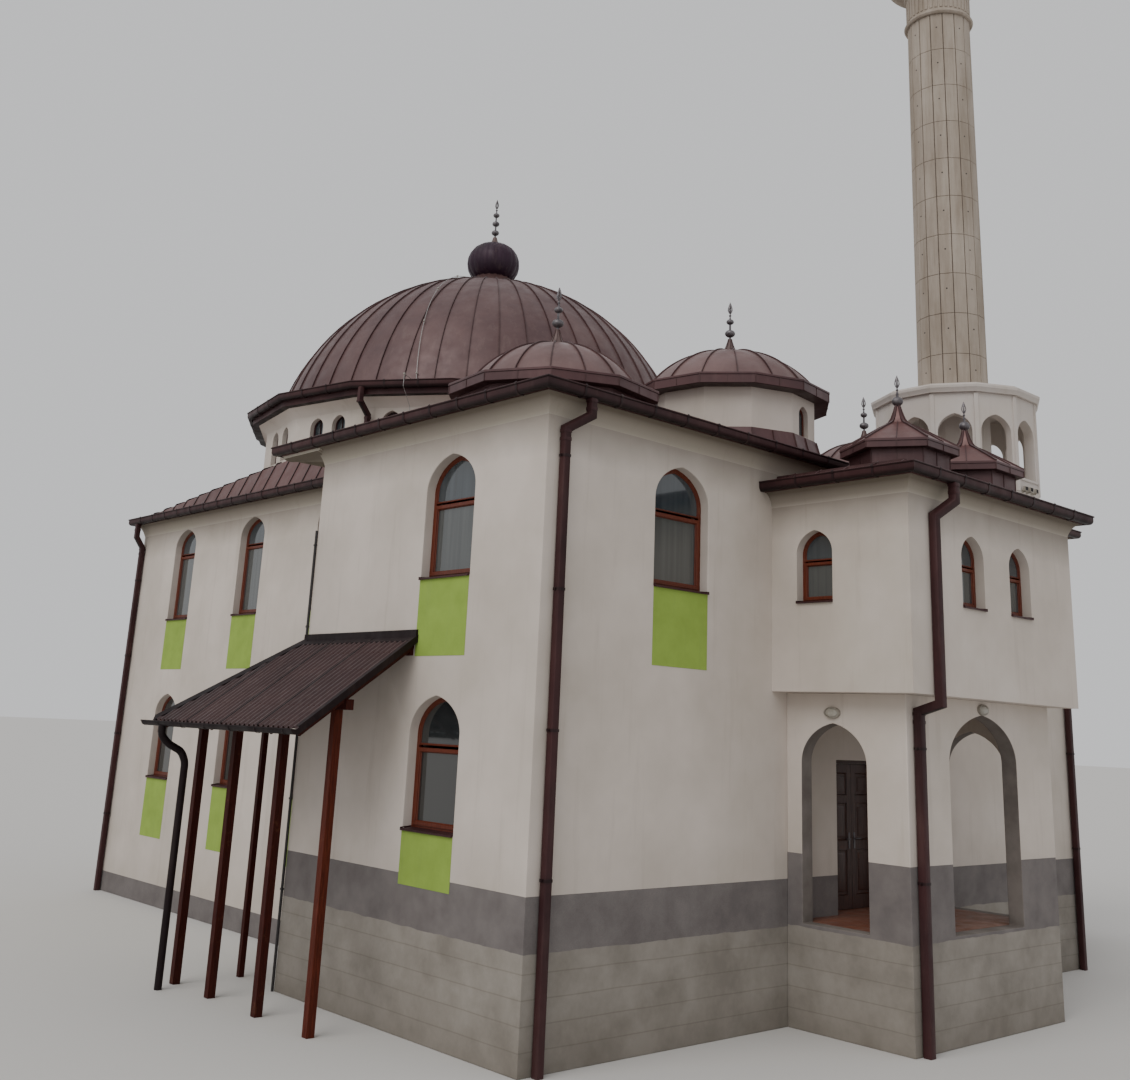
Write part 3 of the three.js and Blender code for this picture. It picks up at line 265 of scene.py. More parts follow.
def greenFinish():
    p = Paint("greenPaint")
    base = p.mix(p.spread(p.noise(2.5, 5, 0.6), 0.35, 0.7), shade(146, 174, 80), shade(134, 160, 72))
    edge = p.spread(p.noise(1.0, 5, 0.65, p.stretched(6, 6, 0.5)), 0.55, 0.8, 0, 0.3)
    base = p.mix(edge, base, shade(122, 140, 84))
    return p.done(color=base, rough=0.86, normal=p.bump(p.noise(260, 3, 0.7), 0.0012), specular=0.3)


def sheetFinish(name, light, dark, rough=0.38, wave=0.006, metal=0.25, rust=0.2, under=0.0, specular=0.5):
    p = Paint(name)
    base = p.mix(p.spread(p.noise(0.9, 5, 0.62), 0.36, 0.68), shade(*light), shade(*dark))
    runs = p.spread(p.noise(1.0, 5, 0.7, p.stretched(7, 7, 0.8)), 0.52, 0.8, 0.0, rust)
    base = p.mix(runs, base, shade(142, 124, 116))
    spots = p.spread(p.noise(26, 4, 0.7), 0.58, 0.75, 0.0, 0.25)
    base = p.mix(spots, base, shade(70, 50, 48))
    if under:
        # painted shade: what faces down is darkened
        base = p.mix(p.spread(p.facingUp, -0.6, 0.0, under, 0.0), base, shade(22, 16, 17))
    gloss = p.spread(p.noise(3.5, 4, 0.6), 0.3, 0.7, rough - 0.08, rough + 0.14)
    canning = p.bump(p.noise(1.6, 2, 0.4), wave, p.bump(p.noise(42, 3), 0.0006))
    return p.done(color=base, rough=gloss, metal=metal, normal=canning, specular=specular)


def timberFinish(name, light, dark, rough=0.42, specular=0.5):
    p = Paint(name)
    grain = p.noise(3.0, 5, 0.6, p.stretched(26, 26, 1.6))
    base = p.mix(p.spread(grain, 0.35, 0.66), shade(*light), shade(*dark))
    wear = p.spread(p.noise(5, 4, 0.7), 0.6, 0.8, 0.0, 0.3)
    base = p.mix(wear, base, shade(142, 96, 66))
    dull = p.spread(grain, 0.3, 0.7, rough - 0.06, rough + 0.14)
    return p.done(color=base, rough=dull, normal=p.bump(grain, 0.0008), specular=specular)


def paneFinish(name, low, high):
    p = Paint(name)
    folds = p.noise(1.4, 3, 0.5, p.stretched(9, 9, 0.25))
    base = p.mix(p.spread(folds, 0.3, 0.7), shade(*low), shade(*high))
    # painted shade: the panes of the lower storey are darker, for the dim rooms behind them
    base = p.mix(p.spread(p.z, 4.4, 4.6, 0.75, 0.0), base, shade(40, 40, 39))
    waves = p.bump(p.noise(1.1, 1), 0.004)
    return p.done(color=base, rough=0.07, coat=0.6, coatRough=0.03, specular=0.6, normal=waves)


def stoneFinish():
    p = Paint("shaftStone")
    tint = p.noise(0.9, 5, 0.65, p.stretched(2.2, 2.2, 0.5))
    base = p.mix(p.spread(tint, 0.36, 0.66), shade(174, 163, 151), shade(148, 136, 123))
    runs = p.spread(p.noise(1.0, 6, 0.7, p.stretched(11, 11, 0.45)), 0.5, 0.78, 0.0, 0.55)
    base = p.mix(runs, base, shade(128, 114, 100))
    pits = p.spread(p.noise(90, 3, 0.7), 0.6, 0.72, 0.0, 0.4)
    base = p.mix(pits, base, shade(118, 106, 94))
    return p.done(color=base, rough=0.88, normal=p.bump(p.noise(120, 4, 0.7), 0.0015), specular=0.3)


def plainFinish(name, light, dark, rough, metal=0.0, scale=8.0, depth=0.0008):
    p = Paint(name)
    base = p.mix(p.spread(p.noise(scale, 5, 0.65), 0.35, 0.68), shade(*light), shade(*dark))
    gloss = p.spread(p.noise(scale * 2, 3), 0.3, 0.7, max(0.05, rough - 0.08), rough + 0.08)
    return p.done(color=base, rough=gloss, metal=metal, normal=p.bump(p.noise(scale * 9, 3), depth))


def tileFinish():
    p = Paint("floorTiles")
    settings = {"offset": 0.0, "squash": 1.0}
    sizes = {
        "Vector": p.place, "Scale": 1.0, "Mortar Size": 0.006, "Mortar Smooth": 0.2, "Brick Width": 0.3,
        "Row Height": 0.3, "Color1": (*shade(132, 84, 66), 1), "Color2": (*shade(118, 74, 60), 1),
        "Mortar": (*shade(120, 112, 104), 1),
    }
    tile = p.node("ShaderNodeTexBrick", settings, sizes)
    joint = p.also(tile, 1)
    stain = p.spread(p.noise(2, 5, 0.6), 0.4, 0.7, 0.0, 0.4)
    base = p.mix(stain, tile, shade(104, 84, 74))
    dull = p.spread(p.noise(4, 4), 0.3, 0.7, 0.3, 0.6)
    return p.done(color=base, rough=dull, normal=p.bump(1 - joint, 0.003))


finishes = {
    "wall": wallFinish("paintedRender"),
    # the main and upper walls get painted shade below their eaves
    "mainWall": wallFinish("paintedRenderMain", plinthTop=1.97, hallTop=0.42, foot=1.35, eave=7.95),
    "upperWall": wallFinish("paintedRenderUpper", eave=7.4),
    "porchWall": wallFinish("paintedRenderPorch", plinthTop=2.34, reveals=True, foot=1.38),
    "arcade": wallFinish("paintedRenderTower", white=shade(200, 193, 188), foot=1.3, plinthTop=1.97),
    # the cove gets painted shade where it faces down
    "cove": wallFinish("paintedRenderCove", white=shade(196, 188, 173), under=0.85),
    "green": greenFinish(),
    "mainDome": sheetFinish("mainDomeSheet", (99, 76, 75), (82, 60, 61), rough=0.46, wave=0.016),
    "dome": sheetFinish("domeSheet", (116, 91, 89), (97, 74, 73), rough=0.42, wave=0.012),
    "hallRoof": sheetFinish("hallRoofSheet", (106, 77, 75), (88, 62, 61), rough=0.46, wave=0.008),
    "roof": sheetFinish("roofSheet", (115, 83, 80), (96, 67, 66), rough=0.42, wave=0.008),
    "seam": sheetFinish("seamSheet", (82, 56, 56), (64, 43, 44), rough=0.46, wave=0.002),
    "fold": sheetFinish(
        "foldSheet", (46, 29, 31), (34, 21, 23), rough=0.5, wave=0.001, metal=0.08, specular=0.3,
    ),
    "bulb": sheetFinish(
        "bulbSheet", (55, 32, 50), (39, 22, 36), rough=0.5, wave=0.004, metal=0.12, specular=0.35,
    ),
    # the fascia and the gutter get painted shade on what faces down
    "fascia": sheetFinish(
        "fasciaSheet", (90, 62, 63), (72, 49, 51), rough=0.4, wave=0.003, rust=0.1, under=0.5,
    ),
    "gutter": sheetFinish(
        "gutterSheet", (70, 44, 45), (53, 33, 35), rough=0.5, wave=0.003, metal=0.06, rust=0.1, under=0.8,
        specular=0.26,
    ),
    "canopy": sheetFinish(
        "canopySheet", (72, 54, 54), (57, 43, 44), rough=0.5, wave=0.002, metal=0.08, rust=0.16,
        specular=0.32,
    ),
    "canopyDark": sheetFinish(
        "canopyTrimSheet", (38, 27, 29), (28, 20, 22), rough=0.55, wave=0.002, metal=0.03, rust=0.06,
        specular=0.2,
    ),
    "window": timberFinish("windowTimber", (106, 48, 28), (80, 34, 20), rough=0.4, specular=0.4),
    # one timber as two copies: painted shade on the frame under the canopy, painted light on the near post
    "postShaded": timberFinish("postTimber", (68, 25, 17), (48, 18, 12), rough=0.6, specular=0.2),
    "postLit": timberFinish("postTimberPale", (94, 42, 28), (68, 29, 19), rough=0.6, specular=0.2),
    "door": timberFinish("doorTimber", (70, 40, 30), (50, 28, 22), rough=0.36),
    "pane": paneFinish("windowPane", (66, 69, 69), (80, 83, 82)),
    "archPane": paneFinish("archPane", (52, 58, 62), (64, 70, 74)),
    "stone": stoneFinish(),
    "joint": plainFinish("jointMortar", (84, 72, 62), (66, 56, 48), rough=0.9),
    "alem": plainFinish("finialMetal", (120, 116, 118), (84, 80, 84), rough=0.46, metal=0.6, scale=14),
    "cone": sheetFinish("finialConeSheet", (104, 86, 82), (84, 68, 66), rough=0.44, wave=0.002),
    # dark discs in place of the shaft's holes are painted shade; the lamps' bars use this too
    "dark": plainFinish("darkHole", (42, 38, 36), (30, 27, 26), rough=0.8),
    "lamp": plainFinish("lampShell", (158, 152, 142), (134, 128, 118), rough=0.45, scale=20),
    "lens": plainFinish("lampGlass", (176, 172, 162), (158, 153, 143), rough=0.2, scale=30),
    "tiles": tileFinish(),
    "slab": plainFinish("castConcrete", (150, 146, 140), (124, 120, 114), rough=0.88, scale=3, depth=0.002),
    "wire": plainFinish("conductorWire", (178, 176, 174), (150, 148, 146), rough=0.4, metal=0.6, scale=30),
    "rod": plainFinish("conductorRod", (58, 56, 56), (42, 40, 40), rough=0.55, metal=0.3, scale=30),
}
print("finishes made:", len(finishes))


# Forms: plain vertex and face lists that become one mesh


class Form:
    def __init__(self):
        self.points, self.faces = [], []

    def add(self, points, faces):
        base = len(self.points)
        self.points += [tuple(point) for point in points]
        self.faces += [tuple(base + i for i in face) for face in faces]

    def box(self, x, y, z):
        points = [(a, b, c) for a in x for b in y for c in z]
        self.add(points, [(0, 1, 3, 2), (4, 6, 7, 5), (0, 4, 5, 1), (2, 3, 7, 6), (0, 2, 6, 4), (1, 5, 7, 3)])

    # rings of equal count, joined in order; the whole is closed, or else its ends are capped
    def skin(self, rings, closed=False):
        count = len(rings[0])
        faces = []
        for i in range(len(rings) if closed else len(rings) - 1):
            a, b = i * count, ((i + 1) % len(rings)) * count
            faces += [(a + j, a + (j + 1) % count, b + (j + 1) % count, b + j) for j in range(count)]
        if not closed:
            last = (len(rings) - 1) * count
            faces += [tuple(range(count))[::-1], tuple(range(last, last + count))]
        self.add([point for ring in rings for point in ring], faces)

    # a section of (inset, depth) rows swept round a loop that a function gives for each inset
    def trim(self, loop, section, place):
        self.skin([[place(u, v, depth) for u, v in loop(inset)] for inset, depth in section], closed=True)

    def plate(self, outline, place, near, far):
        self.skin([[place(u, v, depth) for u, v in outline] for depth in (near, far)])

    # a pipe or bar of a flat section, mitred at each corner of its path
    def pipe(self, path, section):
        path = [Vector(point) for point in path]
        steps = [(b - a).normalized() for a, b in zip(path, path[1:])]
        side = steps[0].cross(Vector((0, 1, 0)) if abs(steps[0].y) < 0.9 else Vector((1, 0, 0))).normalized()
        rise = side.cross(steps[0])
        ring = [path[0] + side * u + rise * v for u, v in section]
        rings = [ring]
        for i, step in enumerate(steps):
            cut = (step + steps[i + 1]).normalized() if i + 1 < len(steps) else step
            ring = [point + step * ((path[i + 1] - point).dot(cut) / step.dot(cut)) for point in ring]
            rings.append(ring)
        self.skin(rings)

    def lathe(self, profile, centre, count):
        x, y, z = centre
        rings = []
        for radius, height in profile:
            radius = max(radius, 0.0005)
            angles = [math.tau * i / count for i in range(count)]
            rings.append([(x + radius * math.cos(a), y + radius * math.sin(a), z + height) for a in angles])
        self.skin(rings)

    def piece(self, name, finish, bevel=0.0, smooth=35, body=building, replaces=()):
        mesh = bpy.data.meshes.new(name)
        mesh.from_pydata(self.points, [], self.faces)
        work = bmesh.new()
        work.from_mesh(mesh)
        bmesh.ops.recalc_face_normals(work, faces=work.faces)
        work.to_mesh(mesh)
        work.free()
        mesh.materials.append(finishes[finish])
        item = bpy.data.objects.new(name, mesh)
        bpy.context.scene.collection.objects.link(item)
        if bevel:
            bevelled(item, bevel)
        shaded(item, smooth)
        if body:
            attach(item, body)
        if replaces:
            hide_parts(*replaces)
        return item


def settle(item):
    bpy.context.view_layer.update()
    done = item.evaluated_get(bpy.context.evaluated_depsgraph_get())
    mesh = bpy.data.meshes.new_from_object(done)
    item.modifiers.clear()
    item.data = mesh


def bevelled(item, width):
    cut = item.modifiers.new("edges", "BEVEL")
    cut.width, cut.segments, cut.limit_method = width, 2, "ANGLE"
    cut.angle_limit = math.radians(40)
    settle(item)


def shaded(item, degrees):
    # smooth, apart from edges sharper than an angle
    item.data.shade_smooth()
    item.data.set_sharp_from_angle(angle=math.radians(degrees))


# Geometry nodes: one tree repeats a form along a line or round an axis, the other makes a dome


def openTree(name, sockets):
    # gives the tree and a wire from each of its inputs
    group = bpy.data.node_groups.new(name, "GeometryNodeTree")
    for word, kind in sockets:
        group.interface.new_socket(word, in_out="INPUT", socket_type="NodeSocket" + kind)
    group.interface.new_socket("Form", in_out="OUTPUT", socket_type="NodeSocketGeometry")
    t = Tree(group)
    inputs = t.node("NodeGroupInput")
    return t, [t.also(inputs, i) for i in range(len(sockets))]


def closeTree(t, form, finish):
    painted = t.node("GeometryNodeSetMaterial", None, {"Geometry": form, "Material": finish})
    out = t.tree.nodes.new("NodeGroupOutput")
    t.tree.links.new(painted.socket, out.inputs[0])
    return t.tree


def repeatTree():
    t, (form, count, step, turn, axis, finish) = openTree("repeatForm", [
        ("Form", "Geometry"), ("Count", "Int"), ("Step", "Vector"), ("Turn", "Float"), ("Axis", "Vector"),
        ("Finish", "Material"),
    ])
    index = t.node("GeometryNodeInputIndex")
    line = t.node("GeometryNodeMeshLine", {"mode": "OFFSET"}, {"Count": count, "Offset": (0, 0, 0)})
    away = t.node("ShaderNodeVectorMath", {"operation": "SCALE"}, {0: step, "Scale": index})
    spots = t.node("GeometryNodeSetPosition", None, {"Geometry": line, "Offset": away})
    back = t.node("ShaderNodeVectorMath", {"operation": "SCALE"}, {0: axis, "Scale": -1.0})
    centred = t.node("GeometryNodeTransform", None, {"Geometry": form, "Translation": back})
    angle = t.node("ShaderNodeCombineXYZ", None, {2: index * turn})
    sockets = {"Points": spots, "Instance": centred, "Rotation": angle}
    copies = t.node("GeometryNodeInstanceOnPoints", None, sockets)
    real = t.node("GeometryNodeRealizeInstances", None, {0: copies})
    home = t.node("GeometryNodeTransform", None, {"Geometry": real, "Translation": axis})
    return closeTree(t, home, finish)


# a dome whose sheets bulge a little between their seams
def domeTree():
    t, (sheets, rings, ball, sweep, rise, bulge, centre, finish) = openTree("sheetDome", [
        ("Sheets", "Int"), ("Rings", "Int"), ("Ball", "Float"), ("Sweep", "Float"), ("Rise", "Float"),
        ("Bulge", "Float"), ("Centre", "Vector"), ("Finish", "Material"),
    ])
    sizes = {"Size X": 1.0, "Size Y": 1.0, "Vertices X": sheets * 6 + 1, "Vertices Y": rings + 1}
    grid = t.node("GeometryNodeMeshGrid", None, sizes)
    place = t.node("ShaderNodeSeparateXYZ", None, {0: t.node("GeometryNodeInputPosition")})
    across = place + 0.5
    up = t.also(place, 1) + 0.5
    lean = sweep * (1 - up)
    swell = t.math("ABSOLUTE", t.math("SINE", across * sheets * math.pi)) * bulge * (1 - up * 0.7)
    radius = (ball + swell) * t.math("SINE", lean)
    height = rise - ball + ball * t.math("COSINE", lean)
    angle = across * math.tau
    spot = {0: radius * t.math("COSINE", angle), 1: radius * t.math("SINE", angle), 2: height}
    point = t.node("ShaderNodeCombineXYZ", None, spot)
    moved = t.node("ShaderNodeVectorMath", {"operation": "ADD"}, {0: point, 1: centre})
    shaped = t.node("GeometryNodeSetPosition", None, {"Geometry": grid, "Position": moved})
    merged = t.node("GeometryNodeMergeByDistance", None, {"Geometry": shaped, "Distance": 0.0004})
    return closeTree(t, merged, finish)


trees = {"repeat": repeatTree(), "dome": domeTree()}


def grown(item, tree, values):
    grow = item.modifiers.new("grow", "NODES")
    grow.node_group = trees[tree]
    for socket in trees[tree].interface.items_tree:
        if socket.in_out == "INPUT" and socket.name in values:
            grow[socket.identifier] = values[socket.name]
    settle(item)


def repeated(
    name, form, finish, count, step=(0, 0, 0), turn=0.0, axis=(0, 0, 0), bevel=0.0, smooth=35, body=building,
):
    item = form.piece(name, finish, bevel, smooth, body=None)
    values = {"Count": count, "Step": step, "Turn": turn, "Axis": axis, "Finish": finishes[finish]}
    grown(item, "repeat", values)
    item.data.set_sharp_from_angle(angle=math.radians(smooth))
    if body:
        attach(item, body)
    return item


# joins pieces that are alike into the first of them, which then rides
def gathered(name, items):
    work = bmesh.new()
    for item in items:
        work.from_mesh(item.data)
    work.to_mesh(items[0].data)
    work.free()
    for item in items[1:]:
        bpy.data.objects.remove(item)
    items[0].name = name
    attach(items[0], building)


def polygon(count, radius, turn=0.0, centre=(0, 0)):
    # turn is a share of one side, as in the solids
    angles = [(i + turn) * math.tau / count for i in range(count)]
    return [(centre[0] + radius * math.cos(a), centre[1] + radius * math.sin(a)) for a in angles]


def rectangle(half, low, high, inset=0.0):
    left, right, low, high = inset - half, half - inset, low + inset, high - inset
    return [(left, low), (right, low), (right, high), (left, high)]


def atHeight(loop, z):
    return [(u, v, z) for u, v in loop]


def upBy(height):
    return Vector((0, 0, height))


def outwards(angle):
    return Vector((math.cos(angle), math.sin(angle), 0))


def leftOf(way):
    return Vector((-way.y, way.x, 0))


# places on a wall: u runs along it, v is the height and depth goes into it
def placeOn(start, out):
    side = leftOf(out)

    def place(u, v, depth):
        return tuple(start + side * u - out * depth + upBy(v))
    return place


def wallPlace(face, normal, centre):
    start = Vector((face if normal[0] else centre, face if normal[1] else centre, 0))
    return placeOn(start, Vector((*normal, 0)))


def facetPlace(angle, reach, centre):
    out = outwards(angle)
    return placeOn(Vector((*centre, 0)) + out * reach, out)


def flatPlace(u, v, z):
    return (u, v, z)


# The camera, the floor and the light

view = {
    "place": (-17.425, -11.965, 3.919), "yaw": -41.735, "pitch": 15.18, "roll": 2.649,
    "focal": 1224.6, "centre": (560.7, 396.8), "size": (1130, 1080), "sensor": 36.0,
}


def makeView():
    yaw, pitch, roll = (math.radians(view[key]) for key in ("yaw", "pitch", "roll"))
    ahead = Vector((-math.sin(yaw) * math.cos(pitch), math.cos(yaw) * math.cos(pitch), math.sin(pitch)))
    level = Vector((math.cos(yaw), math.sin(yaw), 0))
    upright = level.cross(ahead)
    right = level * math.cos(roll) + upright * math.sin(roll)
    up = upright * math.cos(roll) - level * math.sin(roll)
    camera = bpy.data.objects.new("viewCamera", bpy.data.cameras.new("viewCamera"))
    turned = Matrix((right, up, -ahead)).transposed().to_4x4()
    camera.matrix_world = Matrix.Translation(view["place"]) @ turned
    lens = camera.data
    wide, high = view["size"]
    lens.sensor_width = view["sensor"]
    lens.lens = view["focal"] / wide * view["sensor"]
    lens.shift_x = (wide / 2 - view["centre"][0]) / wide
    lens.shift_y = -(high / 2 - view["centre"][1]) / wide
    lens.clip_end = 500
    bpy.context.scene.collection.objects.link(camera)
    bpy.context.scene.camera = camera


studio = {
    "floor": 400.0, "sky": (0.83, 0.836, 0.85), "skyPower": 0.88, "sunPower": 1.3, "sunAngle": 42.0,
    "sunFrom": (-23, -5, 24), "sunColor": (1.0, 0.97, 0.93),
}


def makeStudio():
    size = studio["floor"]
    form = Form()
    form.add([(-size, -size, 0), (size, -size, 0), (size, size, 0), (-size, size, 0)], [(0, 1, 2, 3)])
    floor = form.piece("studioFloor", "slab", body=None)
    pale = Paint("studioFloorPaint")
    floor.data.materials[0] = pale.done(color=shade(198, 196, 193), rough=0.9)
    world = bpy.data.worlds.new("studioSky")
    bpy.context.scene.world = world
    world.use_nodes = True
    sky = world.node_tree.nodes["Background"]
    sky.inputs[0].default_value = (*studio["sky"], 1)
    sky.inputs[1].default_value = studio["skyPower"]
    sun = bpy.data.objects.new("softSun", bpy.data.lights.new("softSun", "SUN"))
    sun.data.energy, sun.data.angle = studio["sunPower"], math.radians(studio["sunAngle"])
    sun.data.color = studio["sunColor"]
    sun.rotation_euler = Vector(studio["sunFrom"]).to_track_quat("Z", "Y").to_euler()
    bpy.context.scene.collection.objects.link(sun)


makeView()
makeStudio()
print("camera and studio ready")


# The solids that stay get their finishes

nodeFinishes = {
    "mainWall": [
        "wing_side_wall_left", "wing_side_wall_right", "wing_front_wall_left", "wing_front_wall_right",
        "wing_wall_over_door", "hall_side_wall_left", "hall_side_wall_right", "hall_back_wall",
    ],
    "porchWall": ["porch_arcade"],
    "wall": ["upper_floor", "drum_wall_front", "drum_wall_back", "middle_drum_wall"],
    "upperWall": ["porch_upper_walls"],
    "cove": ["main_cornice", "porch_cornice"],
    "tiles": ["ground_floor"],
    "roof": ["wing_roof", "porch_roof"],
    "hallRoof": ["hall_roof"],
    "arcade": ["minaret_tower", "minaret_core", "minaret_slab"],
    "stone": ["minaret_balcony", "minaret_upper_shaft", "minaret_shaft"],
    "mainDome": ["main_dome"],
    "dome": ["left_dome", "right_dome", "middle_dome", "minaret_spire"],
    "fascia": [
        "left_dome_base", "right_dome_base", "middle_dome_fascia", "porch_turret_left", "porch_turret_right",
    ],
    "gutter": ["main_gutter", "porch_gutter", "dome_gutter"],
    "canopyDark": ["canopy_gutter"],
    "bulb": ["main_finial"],
    "canopy": ["canopy_roof"],
    "postShaded": ["canopy_frame"],
    "archPane": ["drum_glazing", "middle_drum_glazing"],
    "door": ["door_lining", "door_leaf_left", "door_leaf_right"],
    "window": [
        "wing_left_lower_window", "wing_left_upper_window", "wing_right_lower_window",
        "wing_right_upper_window", "wing_front_window_left", "wing_front_window_right",
        "hall_windows_left", "hall_windows_right", "hall_windows_back", "porch_windows",
    ],
}
for finish, members in nodeFinishes.items():
    for member in members:
        slots = nodes[member].data.materials
        if len(slots):
            slots[0] = finishes[finish]
        else:
            slots.append(finishes[finish])


# Windows

windowKinds = {
    "wing": {"half": 0.565, "spring": 1.24, "apex": 1.75},
    "hall": {"half": 0.5, "spring": 1.33, "apex": 1.75},
    "hallHigh": {"half": 0.5, "spring": 1.61, "apex": 2.01},
    "porch": {"half": 0.32, "spring": 0.72, "apex": 1.055},
}
windowMake = {
    "reveal": 0.15, "depth": 0.07, "frame": 0.05, "sash": 0.052, "gap": 0.004, "transomDrop": 0.165,
    "chamfer": 0.006, "sillOut": 0.035, "sillDrop": 0.03, "sillThick": 0.012, "panel": 0.004, "steps": 14,
    # the porch's windows have slimmer bars and a lower transom
    "porch": (0.8, 0.7),
}


def archLoop(half, low, spring, apex, inset, steps=windowMake["steps"]):
    lean = half * 0.3
    span = half + lean
    height = (apex - spring) / math.sqrt(1 - (lean / span) ** 2)
    end = math.acos(lean / span)
    shrink = (half - inset) / half
    rightSide = []
    for i in range(steps + 1):
        angle = end * i / steps
        u = (span * math.cos(angle) - lean) * shrink if i < steps else 0.0
        v = height * math.sin(angle) if i < steps else apex - spring
        rightSide.append((u, spring + v * (1 - inset / (apex - spring))))
    leftSide = [(-u, v) for u, v in reversed(rightSide[:-1])]
    return [(half - inset, low + inset)] + rightSide + leftSide + [(-half + inset, low + inset)]


def windowInto(timber, panes, archPanes, sills, place, kind, sill):
    m = windowMake
    size = windowKinds[kind]
    half, spring, apex = size["half"], sill + size["spring"], sill + size["apex"]
    near, far, chamfer = m["reveal"], m["reveal"] + m["depth"], m["chamfer"]
    slim, drop = m["porch"] if kind == "porch" else (1.0, 1.0)
    bar, sash = m["frame"] * slim, m["sash"] * slim
    timber.trim(
        lambda inset: archLoop(half, sill, spring, apex, inset),
        [(0.001, near), (bar - chamfer, near), (bar, near + chamfer), (bar, far), (0.001, far)], place,
    )
    beam = spring - m["transomDrop"] * drop
    inner = half - bar
    timber.trim(
        lambda inset: rectangle(inner + 0.004, beam - bar / 2 + inset, beam + bar / 2 - inset),
        [(0.0, near + chamfer), (chamfer, near), (chamfer + 0.001, near), (0.0, far)], place,
    )
    # the sash below the transom stands a little proud of the frame
    low, high = sill + bar + m["gap"], beam - bar / 2 - m["gap"]
    edge = inner - m["gap"]

    def sashLoop(inset):
        return rectangle(edge, low, high, inset)

    proud = near - 0.014
    timber.trim(sashLoop, [
        (-0.012, near - 0.001), (-0.012, proud + 0.003), (-0.009, proud), (sash - 0.016, proud),
        (sash - 0.01, proud + 0.006), (sash - 0.008, proud + 0.02), (sash, proud + 0.03), (sash, far - 0.01),
        (0.0, far - 0.01), (0.0, near - 0.001),
    ], place)
    panes.plate(sashLoop(sash - 0.004), place, near + 0.024, near + 0.03)

    # the fixed light above it has a glazing bead
    def lightLoop(inset):
        return archLoop(inner, beam + bar / 2, spring, apex - bar, inset)

    bead = [(-0.002, near + 0.012), (0.012, near + 0.012), (0.018, near + 0.02), (0.018, far - 0.02),
            (-0.002, far - 0.02)]
    timber.trim(lightLoop, bead, place)
    archPanes.plate(lightLoop(0.014), place, near + 0.024, near + 0.03)
    out, drop, thick = m["sillOut"], m["sillDrop"], m["sillThick"]
    profile = [
        (near + 0.02, sill + 0.016), (-out, sill - 0.004), (-out, sill - drop), (-out + thick, sill - drop),
        (-out + thick, sill - 0.004 - thick), (near + 0.02, sill + 0.004),
    ]
    ends = [-half + 0.001, half - 0.001]
    sills.skin([[place(u, v, depth) for depth, v in profile] for u in ends])
    for u in ends:
        lip = [(near, sill + 0.03), (-out, sill + 0.012), (-out, sill - drop), (near, sill - 0.01)]
        sills.skin([[place(u + shift, v, depth) for depth, v in lip] for shift in (-0.003, 0.003)])


panelDrops = {"wingLow": 0.71, "wingHigh": 1.095, "hallLow": 1.22, "hallHigh": 1.1}


def windowRows():
    # every window: its group, its place on the wall, its kind, its sill's height and the panel below it
    s, r, rows = site, roomSize, []

    def add(group, normal, face, centre, *kinds):
        place = wallPlace(face, normal, centre)
        rows.extend((group, place, kind, s[sill], panel) for kind, sill, panel in kinds)
    low, high = ("wing", "lowSill", "wingLow"), ("wing", "highSill", "wingHigh")
    porch = ("porch", "highSill", None)
    hall = (("hall", "lowSill", "hallLow"), ("hallHigh", "highSill", "hallHigh"))
    for side in (-1, 1):
        add("wing", (side, 0), side * s["wingHalf"], s["sideWindow"], low, high)
        add("wing", (0, -1), s["face"], side * s["frontWindow"], high)
        for bay in (-1, 0, 1):
            add("hall", (side, 0), side * s["hallHalf"], s["hallMiddle"] + bay * s["hallBay"], *hall)
        add("hall", (0, 1), s["hallBack"], side * s["hallBay"], *hall)
        add("porch", (side, 0), side * r["half"], r["sideWindow"], porch)
        add("porch", (0, -1), r["front"], side * r["frontWindow"], porch)
    return rows


windows = windowRows()


def makeWindows():
    panels, sills = Form(), Form()
    for group in ("wing", "hall", "porch"):
        timber, panes, archPanes = Form(), Form(), Form()
        for owner, place, kind, sill, panel in windows:
            if owner == group:
                windowInto(timber, panes, archPanes, sills, place, kind, sill)
                if panel:
                    outline = rectangle(windowKinds[kind]["half"], sill - panelDrops[panel], sill - 0.012)
                    panels.plate(outline, place, 0.001, -windowMake["panel"])
        replaced = [name for name in nodeFinishes["window"] if name.startswith(group)]
        timber.piece(group + "WindowFrames", "window", smooth=30, replaces=replaced)
        panes.piece(group + "WindowPanes", "pane", smooth=30)
        archPanes.piece(group + "ArchPanes", "archPane", smooth=30)
    sills.piece("windowSills", "gutter", smooth=30)
    panels.piece("greenPanels", "green", smooth=30)


makeWindows()
print("windows made")


# Domes with standing seams, and finials

domeKinds = {
    "main": {"centre": (*site["dome"], 10.3903), "radius": 4.72, "rise": 3.78, "sheets": 46, "rings": 40,
             "bulge": 0.012, "rib": 0.015, "ribHeight": 0.032, "clear": 0.5, "finish": "mainDome"},
    "side": {"radius": 1.47, "rise": 0.87, "sheets": 16, "rings": 20, "bulge": 0.01, "rib": 0.014,
             "ribHeight": 0.028, "clear": 0.14, "finish": "dome"},
    "middle": {"radius": 1.68, "rise": 0.9, "sheets": 16, "rings": 20, "bulge": 0.01, "rib": 0.014,
               "ribHeight": 0.028, "clear": 0.14, "finish": "dome"},
}


def capAngles(radius, rise):
    ball = (radius * radius + rise * rise) / (2 * rise)
    return ball, math.asin(min(1.0, radius / ball))


